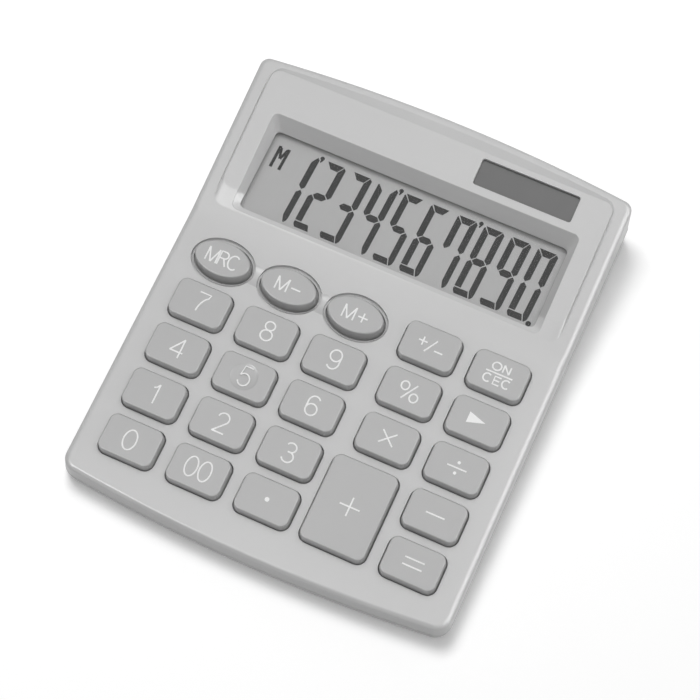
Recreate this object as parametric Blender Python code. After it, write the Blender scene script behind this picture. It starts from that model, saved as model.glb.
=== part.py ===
"""Ten-digit desktop calculator: wedge-shaped two-part case, 24 sprung keys on a rubber dome mat,
one circuit board, liquid crystal display, solar cell and a button cell behind a screwed door.

Metres, +Z up. The origin is on the desk, under the middle of the case. +Y runs from the front
edge, next to the user, to the tall back edge, and +X to the user's right.
"""

import math

import bmesh
import bpy
from mathutils import Matrix, Vector

# Key grid, on the keypad face
KEY_HOLE_WIDTH = 0.0156
KEY_HOLE_DEPTH = 0.0112
KEY_HOLE_RADIUS = 0.0026
KEY_SIDE_SPACING = 0.00315  # between the holes of neighbouring columns
KEY_ROW_SPACING = 0.0021
OPERATOR_GAP = 0.0020  # added between the third and fourth columns
KEYPAD_SIDE_MARGIN = 0.0066  # outer holes to the sides of the case
KEYPAD_FRONT_MARGIN = 0.0096
KEYPAD_BACK_MARGIN = 0.0041  # last holes to the bend of the face
PLUS_EXTRA_WIDTH = 0.0027  # the tall key reaches this much further to the left
ROWS = 5
DIGIT_COLUMNS = 3
OPERATOR_COLUMNS = 2

# Display recess and solar window, on the display face
RIM_FRONT_FROM_BEND = 0.0047
RIM_DEPTH = 0.0272
RIM_SIDE_MARGIN = 0.0097  # recess to the sides of the case
RIM_RADIUS = 0.0016
SOLAR_WIDTH = 0.0273
SOLAR_DEPTH = 0.0074
SOLAR_RADIUS = 0.0007
SOLAR_RIM_SPACING = 0.0023  # recess to solar window
SOLAR_SIDE_MARGIN = 0.0135
SOLAR_BACK_MARGIN = 0.0067

# Case
KEYPAD_TILT = math.radians(2.5)
FACE_RISE = 0.0089  # display face, from the bend to the back of the case
CORNER_RADIUS = 0.0036  # case corners seen from above
FRONT_BOW = 0.0029  # how far the front edge bulges past its corners
BACK_BOW = 0.0028
BEND_BLEND = 0.0025  # half the length of the soft bend

# Top housing
EDGE_RADIUS = 0.0015  # rounding between face and side wall
WALL_FLARE = 0.0003  # side wall leans out by this, down to the parting line
TOP_WALL = 0.0016
SIDE_WALL = 0.0018
SIDE_DEPTH = 0.0047  # keypad face down to the parting line
PANEL_RAISE = 0.00075  # display panel above the shoulders beside it
PANEL_FOOT_FROM_BEND = 0.0035  # start of the slope at the panel's foot
PANEL_FOOT_RUN = 0.0060
PANEL_EDGE_RUN = 0.0011  # width of the sloped step round the panel
SHOULDER_WIDTH = 0.0035  # panel step to the case's side
PANEL_BACK_CREASE = 0.0055  # panel's flat to the back of the case
PANEL_BACK_MARGIN = 0.0003  # past the rounded edge
PANEL_CORNER_RADIUS = 0.0016

# Bottom housing
FOOT_STANDOFF = 0.0008  # floor of the case above the desk
FLOOR = 0.0016
SEAM_INSET = 0.0003  # bottom housing inside the top housing's outline
HULL_INSET = 0.0012  # flat underside inside the top housing's outline
HULL_EDGE_HEIGHT = 0.0005
HULL_EDGE_SHARES = ((0.28, 1.0), (0.45, 0.4), (1.0, 0.0))  # of its inset and its height
LIP_HEIGHT = 0.0012
LIP_WALL = 0.0010

# Clearances
GAP = 0.0003  # between pieces that touch on the real thing
THIN_GAP = 0.0002  # between flat pieces that are stacked or soldered
OVERRUN = 0.002  # cutters run past what they cut
OVERLAP = 0.0007  # joined shapes reach into each other

# Keys
KEY_RISE = 0.0026  # key top above the keypad face
KEY_TRAVEL = 0.0012
KEY_DRAFT = 0.0004
KEY_EDGE_RADIUS = 0.0005
KEY_WALL = 0.0012
KEY_ROOF = 0.0014
KEY_FLANGE = 0.0006  # flange past the edge of its hole
KEY_FLANGE_THICKNESS = 0.0006
KEY_STEM_RADIUS = 0.0017
DISH_RADIUS = 0.0034  # finger dish of the middle digit key
DISH_DEPTH = 0.00028
DISH_SHARES = ((1.0, 0.0), (0.72, 0.5), (0.36, 0.86))  # of its radius and its depth

# Memory keys are ovals in dished wells
OVAL_EXTRA_WIDTH = 0.0004  # an oval hole is wider and less deep than a square one
OVAL_LESS_DEPTH = 0.0010
WELL_SIDE = 0.00075  # well past the ends of its hole
WELL_END = 0.00115
WELL_SINK = 0.0007
WELL_LINK_DEPTH = 0.0055  # shallow channel that joins two wells
WELL_LINK_SINK = 0.0005

# Rubber mat and circuit board
MAT_THICKNESS = 0.0006
MAT_MARGIN = 0.0006  # mat past the outermost key holes
DOME_RADIUS = 0.0036
DOME_TOP_RADIUS = 0.0019
DOME_SKIN = 0.0006
BOARD_THICKNESS = 0.0010
BOARD_CLEARANCE = 0.0004  # board to the bosses beside it
BOARD_DROP = 0.0006  # least space between board and floor

# Display: window, glass and the pocket that holds them
SIGHT_INSET = 0.0017  # side walls of the recess slope in by this
SIGHT_FRONT_INSET = 0.0012
SIGHT_BACK_INSET = 0.0022
SIGHT_RADIUS = 0.0007
SIGHT_LIP = 0.0006
LIP_LEVEL = 0.0005  # top of the lip above the keypad plane
WINDOW_THICKNESS = 0.0010
WINDOW_MARGIN = 0.0010
GLASS_THICKNESS = 0.0019
GLASS_MARGIN = 0.0004
POCKET_WALL = 0.0010
STRIP_WIDTH = 0.0022
STRIP_END = 0.0069  # contact strip's ends to those of the glass

# Solar cell
CELL_MARGIN = 0.0010
CELL_THICKNESS = 0.0011
CELL_SINK = 0.0011  # cell below the panel's surface
CELL_RIB = 0.0008
CELL_RIB_DEPTH = 0.0009

# Screws
SCREW_SHANK_RADIUS = 0.0010
SCREW_HEAD_RADIUS = 0.0019
SCREW_HEAD_HEIGHT = 0.0013
HEAD_TOP_SHARE = 0.7  # flat of a screw head, of its radius
HEAD_SIDE_SHARE = 0.6  # straight side of a screw head, of its height
TIP_SHARE = 0.4  # end of a screw, of its shank's radius
SCREW_GRIP = 0.0042  # shank inside its boss
SEAT_THICKNESS = 0.0014
BOSS_WALL = 0.0010
SIDE_SCREW_INSET = 0.0066  # screws beside the bend, to the sides of the case
BACK_SCREW_INSET = 0.0079
BACK_SCREW_FROM_BACK = 0.0088
BOARD_SHANK_RADIUS = 0.0007
BOARD_HEAD_RADIUS = 0.0014
BOARD_HEAD_HEIGHT = 0.0008
BOARD_SCREW_GRIP = 0.0022
BOARD_BOSS_RADIUS = 0.0016
BOARD_SCREW_INSET = 0.0031  # outer board screws to the board's edges

# Posts under the board
POST_RADIUS = 0.0014

# Feet
FOOT_RADIUS = 0.0040
FOOT_SINK = 0.0006
FOOT_EDGE = 0.0003
FOOT_INSET = 0.0115
FRONT_FOOT_FROM_FRONT = 0.0125
BACK_FOOT_FROM_BACK = 0.0145

# Button cell, its contacts and its door
CELL_RADIUS = 0.0058
CELL_HEIGHT = 0.0031
CELL_STEP = 0.0006
CELL_FROM_LEFT = 0.0314
CELL_FROM_BEND = 0.0155
CELL_WALL = 0.0011
DOOR_WIDTH = 0.0170
DOOR_END = 0.0083  # door past its screw
DOOR_RADIUS = 0.0020
DOOR_THICKNESS = 0.0016
DOOR_LEDGE = 0.0011
DOOR_SCREW_SPACING = 0.0050  # cell to the door's screw
DOOR_BOSS_HEIGHT = 0.0024
DOOR_HEAD_HEIGHT = 0.0008
CONTACT_WIDTH = 0.0036
CONTACT_THICKNESS = 0.0003
CONTACT_REACH = 0.0030

# Chip and wires
CHIP_RADIUS = 0.0062
CHIP_HEIGHT = 0.0014
CHIP_SHARES = ((1.0, 0.0), (0.92, 0.5), (0.7, 0.85), (0.35, 1.0))  # of its radius and height
CHIP_X = 0.0120
CHIP_FROM_BEND = 0.0160
WIRE_RADIUS = 0.0005
WIRE_SPACING = 0.0030
WIRE_DROP = 0.0030
WIRE_BEND_POINTS = 9

# Fineness of curves
CORNER_STEPS = 5
EDGE_STEPS = 3
BOW_STEPS = 7
KEY_CORNER_STEPS = 3
ROUND_STEPS = 12
CELL_STEPS = 24
DOME_STEPS = 8
BLEND_STEPS = 3

# Worked out: the case fits round the key grid and the display
COLUMN_PITCH = KEY_HOLE_WIDTH + KEY_SIDE_SPACING
ROW_PITCH = KEY_HOLE_DEPTH + KEY_ROW_SPACING
GRID_WIDTH = (
    COLUMN_PITCH * (DIGIT_COLUMNS + OPERATOR_COLUMNS - 1)
    + KEY_HOLE_WIDTH
    + OPERATOR_GAP
)
GRID_DEPTH = ROW_PITCH * (ROWS - 1) + KEY_HOLE_DEPTH
BODY_WIDTH = GRID_WIDTH + 2 * KEYPAD_SIDE_MARGIN
BEND_FROM_FRONT = KEYPAD_FRONT_MARGIN + GRID_DEPTH + KEYPAD_BACK_MARGIN
RIM_BACK_FROM_BEND = RIM_FRONT_FROM_BEND + RIM_DEPTH
SOLAR_FROM_BEND = RIM_BACK_FROM_BEND + SOLAR_RIM_SPACING + SOLAR_DEPTH / 2
BODY_LENGTH = BEND_FROM_FRONT + SOLAR_FROM_BEND + SOLAR_DEPTH / 2 + SOLAR_BACK_MARGIN
RIM_WIDTH = BODY_WIDTH - 2 * RIM_SIDE_MARGIN
SOLAR_X = BODY_WIDTH / 2 - SOLAR_SIDE_MARGIN - SOLAR_WIDTH / 2
OVAL_HOLE_WIDTH = KEY_HOLE_WIDTH + OVAL_EXTRA_WIDTH
OVAL_HOLE_DEPTH = KEY_HOLE_DEPTH - OVAL_LESS_DEPTH
BOSS_RADIUS = SCREW_SHANK_RADIUS + GAP + BOSS_WALL
BOARD_WIDTH = BODY_WIDTH - 2 * (SIDE_SCREW_INSET + BOSS_RADIUS + BOARD_CLEARANCE)
POCKET_MARGIN = WINDOW_MARGIN + GAP + POCKET_WALL
BOARD_BACK = BEND_FROM_FRONT + RIM_BACK_FROM_BEND - SIGHT_BACK_INSET + POCKET_MARGIN

# Levels below the keypad face
FLANGE_TOP_LEVEL = -TOP_WALL - GAP
FLANGE_LEVEL = FLANGE_TOP_LEVEL - KEY_FLANGE_THICKNESS
MAT_TOP_LEVEL = FLANGE_LEVEL - KEY_TRAVEL - GAP
MAT_LEVEL = MAT_TOP_LEVEL - MAT_THICKNESS
DOME_TOP_LEVEL = FLANGE_LEVEL + KEY_TRAVEL
BOARD_TOP_LEVEL = MAT_LEVEL - THIN_GAP
BOARD_LEVEL = BOARD_TOP_LEVEL - BOARD_THICKNESS
WINDOW_TOP_LEVEL = LIP_LEVEL - SIGHT_LIP - THIN_GAP
WINDOW_LEVEL = WINDOW_TOP_LEVEL - WINDOW_THICKNESS
GLASS_TOP_LEVEL = WINDOW_LEVEL - THIN_GAP
GLASS_LEVEL = GLASS_TOP_LEVEL - GLASS_THICKNESS

# Heights above the desk
FLOOR_TOP = FOOT_STANDOFF + FLOOR
FACE_FRONT_HEIGHT = FLOOR_TOP + BOARD_DROP - BOARD_LEVEL
BEND_Y = BEND_FROM_FRONT - BODY_LENGTH / 2
KEYPAD_SLOPE = math.tan(KEYPAD_TILT)
BEND_HEIGHT = FACE_FRONT_HEIGHT + KEYPAD_SLOPE * BEND_FROM_FRONT
PANEL_SLOPE = FACE_RISE / (BODY_LENGTH - BEND_FROM_FRONT)
PANEL_TILT = math.atan(PANEL_SLOPE)
CELL_X = CELL_FROM_LEFT - BODY_WIDTH / 2
CELL_Y = BEND_Y + CELL_FROM_BEND

KEYPAD_MATRIX = Matrix.Translation(
    (0, -BODY_LENGTH / 2, FACE_FRONT_HEIGHT)
) @ Matrix.Rotation(KEYPAD_TILT, 4, "X")
PANEL_MATRIX = Matrix.Translation((0, BEND_Y, BEND_HEIGHT)) @ Matrix.Rotation(
    PANEL_TILT, 4, "X"
)


def keypad_plane(y):
    """Height of the keypad face's plane at y, also where the case rises above it."""
    return FACE_FRONT_HEIGHT + KEYPAD_SLOPE * (y + BODY_LENGTH / 2)


def face_height(y):
    """Height of the case's face at y: two slopes that meet in a soft bend."""
    past = y - BEND_Y
    turn = PANEL_SLOPE - KEYPAD_SLOPE
    if past <= -BEND_BLEND:
        return keypad_plane(y)
    if past >= BEND_BLEND:
        return keypad_plane(y) + turn * past
    return keypad_plane(y) + turn * (past + BEND_BLEND) ** 2 / (4 * BEND_BLEND)


def panel_plane(y):
    """Height of the display face's plane at y, also where the panel rises above it."""
    return BEND_HEIGHT + PANEL_SLOPE * (y - BEND_Y)


def panel_height(y):
    """Height of the display panel's surface at y, with the slope at its foot."""
    share = (y - BEND_Y - PANEL_FOOT_FROM_BEND) / PANEL_FOOT_RUN
    return face_height(y) + PANEL_RAISE * min(max(share, 0), 1)


def parting_height(y):
    return keypad_plane(y) - SIDE_DEPTH


def arc(centre, radius, start, steps):
    """Points of a quarter circle, anticlockwise from the angle start."""
    angles = [start + math.pi / 2 * step / steps for step in range(steps + 1)]
    return [
        (centre[0] + radius * math.cos(a), centre[1] + radius * math.sin(a))
        for a in angles
    ]


def rounded_rectangle(half_x, half_y, radius, steps, edge_points=0):
    """Anticlockwise outline. edge_points more points divide the front and back edges."""
    x = half_x - radius
    y = half_y - radius
    shares = [(index + 1) / (edge_points + 1) for index in range(edge_points)]
    points = arc((x, y), radius, 0, steps)
    points += [(x - 2 * x * share, half_y) for share in shares]
    points += arc((-x, y), radius, math.pi / 2, steps)
    points += arc((-x, -y), radius, math.pi, steps)
    points += [(-x + 2 * x * share, -half_y) for share in shares]
    points += arc((x, -y), radius, math.pi * 3 / 2, steps)
    return points


def rectangle_between(low, high, radius, steps, edge_points=0):
    """Rounded rectangle between two opposite corners."""
    half_x = (high[0] - low[0]) / 2
    half_y = (high[1] - low[1]) / 2
    outline = rounded_rectangle(half_x, half_y, radius, steps, edge_points)
    return [(x + low[0] + half_x, y + low[1] + half_y) for x, y in outline]


def oval(half_x, half_y, steps):
    """Oval with its points at the middles of as many equal turns, so that it matches an arc outline."""
    count = 4 * (steps + 1)
    angles = [math.tau * (index + 0.5) / count for index in range(count)]
    return [(half_x * math.cos(a), half_y * math.sin(a)) for a in angles]


def circle(radius, steps=ROUND_STEPS, centre=(0, 0)):
    angles = [math.tau * index / steps for index in range(steps)]
    return [
        (centre[0] + radius * math.cos(a), centre[1] + radius * math.sin(a))
        for a in angles
    ]


def level(outline, z):
    """Outline points at the height z, which is a number or a function of y."""
    if callable(z):
        return [Vector((x, y, z(y))) for x, y in outline]
    return [Vector((x, y, z)) for x, y in outline]


def case_outline(inset):
    """Plan outline of the case drawn in by inset, with its bowed front and back."""
    radius = max(CORNER_RADIUS - inset, CORNER_RADIUS / 4)
    outline = rounded_rectangle(
        BODY_WIDTH / 2 - inset,
        BODY_LENGTH / 2 - inset,
        radius,
        CORNER_STEPS,
        BOW_STEPS,
    )
    points = []
    for x, y in outline:
        bow = BACK_BOW if y > 0 else -FRONT_BOW
        points.append((x, y - bow * (2 * x / BODY_WIDTH) ** 2))
    return points


def clear_scene():
    for obj in list(bpy.data.objects):
        bpy.data.objects.remove(obj, do_unlink=True)


def new_material(name, colour, roughness, metallic=0.0, alpha=1.0):
    material = bpy.data.materials.new(name)
    material.use_nodes = True
    shader = material.node_tree.nodes["Principled BSDF"]
    shader.inputs["Base Color"].default_value = (*colour, 1.0)
    shader.inputs["Roughness"].default_value = roughness
    shader.inputs["Metallic"].default_value = metallic
    shader.inputs["Alpha"].default_value = alpha
    material.diffuse_color = (*colour, alpha)
    return material


def finish(name, bm, material=None, parent=None, location=(0, 0, 0)):
    """Make an object of a bmesh, with its faces turned outwards and its round parts smooth."""
    bmesh.ops.recalc_face_normals(bm, faces=bm.faces)
    mesh = bpy.data.meshes.new(name)
    bm.to_mesh(mesh)
    bm.free()
    mesh.shade_smooth()
    mesh.set_sharp_from_angle(angle=math.radians(35))
    if material:
        mesh.materials.append(material)
    obj = bpy.data.objects.new(name, mesh)
    bpy.context.scene.collection.objects.link(obj)
    obj.parent = parent
    obj.location = location
    return obj


def add_loft(bm, loops):
    """Skin over loops of points, closed with a cap at each end.

    A loop may have twice as many points as its neighbour: two of them then meet one."""
    rings = [[bm.verts.new(point) for point in loop] for loop in loops]
    for lower, upper in zip(rings, rings[1:]):
        coarse, fine = sorted((lower, upper), key=len)
        for index, start in enumerate(coarse):
            following = coarse[(index + 1) % len(coarse)]
            if len(fine) == len(coarse):
                after = (index + 1) % len(fine)
                bm.faces.new((start, following, fine[after], fine[index]))
            else:
                after = (2 * index + 2) % len(fine)
                bm.faces.new((start, following, fine[after], fine[2 * index + 1]))
                bm.faces.new((start, fine[2 * index + 1], fine[2 * index]))
    bm.faces.new(rings[0])
    bm.faces.new(rings[-1])


def loft(name, loops, material=None, parent=None, location=(0, 0, 0)):
    bm = bmesh.new()
    add_loft(bm, loops)
    return finish(name, bm, material, parent, location)


def group_of_lofts(name, lofts, parent=None):
    """One helper object that holds several closed shapes."""
    bm = bmesh.new()
    for loops in lofts:
        add_loft(bm, loops)
    return finish(name, bm, parent=parent)


def case_shell(name, levels, material):
    """Closed shell between case outlines. levels lists (inset, height as a function of y).

    The rings are first laid flat, one metre apart, cut along the soft bend, and then lifted,
    so that the flat caps follow the bend too."""
    bm = bmesh.new()
    add_loft(
        bm, [level(case_outline(inset), rank) for rank, (inset, _) in enumerate(levels)]
    )
    cuts = [2 * step / BLEND_STEPS - 1 for step in range(BLEND_STEPS + 1)]
    for share in cuts:
        bmesh.ops.bisect_plane(
            bm,
            geom=bm.verts[:] + bm.edges[:] + bm.faces[:],
            plane_co=(0, BEND_Y + share * BEND_BLEND, 0),
            plane_no=(0, 1, 0),
        )
    for vert in bm.verts:
        vert.co.z = levels[round(vert.co.z)][1](vert.co.y)
    return finish(name, bm, material)


def helper(obj):
    """Hide a cutter or an added shape from the render."""
    obj.hide_render = True
    obj.display_type = "WIRE"
    return obj


def change(obj, tool, operation):
    """Cut obj with the helper tool, or join the tool to it."""
    modifier = obj.modifiers.new(tool.name, "BOOLEAN")
    modifier.operation = operation
    modifier.solver = "EXACT"
    modifier.object = helper(tool)


def cut(obj, tool):
    change(obj, tool, "DIFFERENCE")


def join(obj, tool):
    change(obj, tool, "UNION")


def frame_object(name, matrix):
    frame = bpy.data.objects.new(name, None)
    bpy.context.scene.collection.objects.link(frame)
    frame.matrix_world = matrix
    return frame


def column_x(column):
    """Middle of a key column. The operator columns stand a little apart."""
    x = (KEY_HOLE_WIDTH - GRID_WIDTH) / 2 + COLUMN_PITCH * column
    return x + OPERATOR_GAP if column >= DIGIT_COLUMNS else x


def row_y(row):
    """Middle of a key row, counted from the front."""
    return KEYPAD_FRONT_MARGIN + KEY_HOLE_DEPTH / 2 + ROW_PITCH * row


def key_layout():
    """Name, kind, middle and half sizes of the hole, for each key."""
    rows = [
        ("0", "00", "point", None, "equals"),
        ("1", "2", "3", None, "minus"),
        ("4", "5", "6", "multiply", "divide"),
        ("7", "8", "9", "percent", "backspace"),
        ("recall", "memory_minus", "memory_plus", "sign", "on_clear"),
    ]
    keys = []
    for row, names in enumerate(rows):
        for column, name in enumerate(names):
            if name is None:
                continue
            place = (column_x(column), row_y(row))
            if row == ROWS - 1 and column < DIGIT_COLUMNS:
                half = (OVAL_HOLE_WIDTH / 2, OVAL_HOLE_DEPTH / 2)
                keys.append(("key_" + name, "oval", place, half))
            else:
                half = (KEY_HOLE_WIDTH / 2, KEY_HOLE_DEPTH / 2)
                keys.append(("key_" + name, "square", place, half))
    half = (
        (KEY_HOLE_WIDTH + PLUS_EXTRA_WIDTH) / 2,
        (KEY_HOLE_DEPTH + ROW_PITCH) / 2,
    )
    place = (
        column_x(DIGIT_COLUMNS) - PLUS_EXTRA_WIDTH / 2,
        (row_y(0) + row_y(1)) / 2,
    )
    keys.append(("key_plus", "square", place, half))
    return keys


def key_outline(kind, half, grow, steps=KEY_CORNER_STEPS):
    """Outline of a key's hole, made larger by grow."""
    if kind == "oval":
        return oval(half[0] + grow, half[1] + grow, steps)
    radius = KEY_HOLE_RADIUS + grow
    return rounded_rectangle(half[0] + grow, half[1] + grow, radius, steps)


def key_cap(name, kind, place, half, material, parent):
    """Hollow key: flange that stops it under the face, drafted sides, soft edge, stem inside."""
    inner_steps = KEY_CORNER_STEPS // 2
    stem = oval(KEY_STEM_RADIUS, KEY_STEM_RADIUS, inner_steps)
    side = -GAP
    crown = side - KEY_DRAFT
    soft = KEY_EDGE_RADIUS
    loops = [
        level(stem, DOME_TOP_LEVEL + GAP),
        level(stem, KEY_RISE - KEY_ROOF),
        level(key_outline(kind, half, crown - KEY_WALL, inner_steps), KEY_RISE - KEY_ROOF),
        level(key_outline(kind, half, side - KEY_WALL, inner_steps), FLANGE_LEVEL),
        level(key_outline(kind, half, KEY_FLANGE), FLANGE_LEVEL),
        level(key_outline(kind, half, KEY_FLANGE), FLANGE_TOP_LEVEL),
        level(key_outline(kind, half, side), FLANGE_TOP_LEVEL),
        level(key_outline(kind, half, crown), KEY_RISE - soft),
        level(key_outline(kind, half, crown - soft), KEY_RISE),
    ]
    if name == "key_5":
        for share, depth_share in DISH_SHARES:
            ring = oval(DISH_RADIUS * share, DISH_RADIUS * share, KEY_CORNER_STEPS)
            loops.append(level(ring, KEY_RISE - DISH_DEPTH * depth_share))
    return loft(name, loops, material, parent, (*place, 0))


def key_holes(keys, parent):
    """Cutter for the holes of all keys."""
    shapes = []
    for _, kind, place, half in keys:
        outline = [
            (x + place[0], y + place[1]) for x, y in key_outline(kind, half, 0)
        ]
        shapes.append([level(outline, -TOP_WALL - OVERRUN), level(outline, OVERRUN)])
    return group_of_lofts("key_hole_cutter", shapes, parent)


def oval_wells(keys):
    """Dished wells of the oval keys."""
    shapes = []
    widen = (OVERRUN + WELL_SINK) / WELL_SINK
    for _, kind, place, half in keys:
        if kind != "oval":
            continue
        floor = oval(half[0], half[1], KEY_CORNER_STEPS)
        rim = oval(half[0] + WELL_SIDE, half[1] + WELL_END, KEY_CORNER_STEPS)
        low = [(x + place[0], y + place[1]) for x, y in floor]
        high = [
            (
                place[0] + a[0] + (b[0] - a[0]) * widen,
                place[1] + a[1] + (b[1] - a[1]) * widen,
            )
            for a, b in zip(floor, rim)
        ]
        shapes.append([level(low, -WELL_SINK), level(high, OVERRUN)])
    return shapes


def well_links():
    """Shallow channels between neighbouring oval wells."""
    shapes = []
    y = row_y(ROWS - 1)
    for column in range(DIGIT_COLUMNS - 1):
        middle = (column_x(column) + column_x(column + 1)) / 2
        reach = (COLUMN_PITCH - OVAL_HOLE_WIDTH) / 2
        low = (middle - reach, y - WELL_LINK_DEPTH / 2)
        high = (middle + reach, y + WELL_LINK_DEPTH / 2)
        outline = rectangle_between(low, high, reach / 2, KEY_CORNER_STEPS)
        shapes.append([level(outline, -WELL_LINK_SINK), level(outline, OVERRUN)])
    return shapes


def display_panel_shape():
    """Raised display panel, joined to the face: sloped edges all round and a long soft foot."""
    half = BODY_WIDTH / 2 - SHOULDER_WIDTH
    front = BEND_Y + PANEL_FOOT_FROM_BEND
    back = BODY_LENGTH / 2 - WALL_FLARE - EDGE_RADIUS - PANEL_BACK_MARGIN
    radius = PANEL_CORNER_RADIUS + PANEL_EDGE_RUN
    foot = rectangle_between(
        (-half, front), (half, back), radius, KEY_CORNER_STEPS, BOW_STEPS
    )
    flat = rectangle_between(
        (-half + PANEL_EDGE_RUN, front + PANEL_FOOT_RUN),
        (half - PANEL_EDGE_RUN, BODY_LENGTH / 2 - PANEL_BACK_CREASE),
        PANEL_CORNER_RADIUS,
        KEY_CORNER_STEPS,
        BOW_STEPS,
    )
    sink = PANEL_RAISE / 5
    below = []
    above = []
    for (x, y), (flat_x, flat_y) in zip(foot, flat):
        bow = BACK_BOW * (2 * x / BODY_WIDTH) ** 2 if y > BEND_Y + RIM_BACK_FROM_BEND else 0
        reach = sink / PANEL_RAISE
        low_x = x + (x - flat_x) * reach
        low_y = y - bow + (y - bow - flat_y) * reach
        below.append(Vector((low_x, low_y, panel_plane(low_y) - sink)))
        above.append(Vector((flat_x, flat_y, panel_plane(flat_y) + PANEL_RAISE)))
    return loft("display_panel_shape", [below, above])


def sight_corners(grow=0.0):
    """Opposite corners, on the keypad plane, of what shows of the display glass."""
    half = RIM_WIDTH / 2 - SIGHT_INSET + grow
    front = BEND_FROM_FRONT + RIM_FRONT_FROM_BEND + SIGHT_FRONT_INSET - grow
    back = BEND_FROM_FRONT + RIM_BACK_FROM_BEND - SIGHT_BACK_INSET + grow
    return (-half, front), (half, back)


def recess_cutter(parent):
    """Sloped display recess, with a straight lip at its bottom."""
    low, high = sight_corners()
    floor = level(rectangle_between(low, high, SIGHT_RADIUS, KEY_CORNER_STEPS), LIP_LEVEL)
    rim_outline = rectangle_between(
        (-RIM_WIDTH / 2, BEND_Y + RIM_FRONT_FROM_BEND),
        (RIM_WIDTH / 2, BEND_Y + RIM_BACK_FROM_BEND),
        RIM_RADIUS,
        KEY_CORNER_STEPS,
    )
    inverse = KEYPAD_MATRIX.inverted()
    top = []
    for point, (x, y) in zip(floor, rim_outline):
        rim = inverse @ Vector((x, y, panel_height(y)))
        top.append(rim + (rim - point).normalized() * OVERRUN)
    below = [Vector((p.x, p.y, p.z - SIGHT_LIP - OVERRUN)) for p in floor]
    return loft("recess_cutter", [below, floor, top], parent=parent)


def display_pocket(parent):
    """Walls below the recess that hold the window and the glass, joined to the face."""
    low, high = sight_corners(POCKET_MARGIN)
    outline = rectangle_between(low, high, RIM_RADIUS, KEY_CORNER_STEPS)
    inverse = KEYPAD_MATRIX.inverted()
    top = []
    for x, y in outline:
        world = KEYPAD_MATRIX @ Vector((x, y, 0))
        world.z = face_height(world.y) - TOP_WALL / 2
        top.append(inverse @ world)
    return loft("display_pocket", [level(outline, GLASS_LEVEL), top], parent=parent)


def pocket_cutter(parent):
    low, high = sight_corners(WINDOW_MARGIN + GAP)
    outline = rectangle_between(low, high, SIGHT_RADIUS, KEY_CORNER_STEPS)
    loops = [
        level(outline, GLASS_LEVEL - OVERRUN),
        level(outline, LIP_LEVEL - SIGHT_LIP),
    ]
    return loft("pocket_cutter", loops, parent=parent)


def solar_outline(grow):
    y = SOLAR_FROM_BEND / math.cos(PANEL_TILT)
    half_x = SOLAR_WIDTH / 2 + grow
    half_y = SOLAR_DEPTH / 2 + grow
    return rectangle_between(
        (SOLAR_X - half_x, y - half_y),
        (SOLAR_X + half_x, y + half_y),
        SOLAR_RADIUS,
        KEY_CORNER_STEPS,
    )


def case_screws():
    """Places of the four case screws, seen from above."""
    back_y = BODY_LENGTH / 2 - BACK_SCREW_FROM_BACK
    side_x = BODY_WIDTH / 2 - SIDE_SCREW_INSET
    back_x = BODY_WIDTH / 2 - BACK_SCREW_INSET
    return [
        ("front_left", -side_x, BEND_Y),
        ("front_right", side_x, BEND_Y),
        ("back_left", -back_x, back_y),
        ("back_right", back_x, back_y),
    ]


def board_screws():
    """Places of the four board screws, on the keypad plane."""
    middle_x = (column_x(DIGIT_COLUMNS - 1) + column_x(DIGIT_COLUMNS)) / 2
    side_x = BOARD_WIDTH / 2 - BOARD_SCREW_INSET
    return [
        ("left", -side_x, BEND_FROM_FRONT),
        ("right", side_x, BEND_FROM_FRONT),
        ("middle_back", middle_x, (row_y(3) + row_y(4)) / 2),
        ("middle_front", middle_x, row_y(2)),
    ]


def screw(name, shank, head, head_height, length, material, parent, location):
    """Pan-head screw, put in from below: the head bears at z = 0 and the shank points up."""
    loops = [
        level(circle(head * HEAD_TOP_SHARE), -head_height),
        level(circle(head), -head_height * HEAD_SIDE_SHARE),
        level(circle(head), 0),
        level(circle(shank), 0),
        level(circle(shank), length - shank),
        level(circle(shank * TIP_SHARE), length),
    ]
    return loft(name, loops, material, parent, location)


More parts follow.
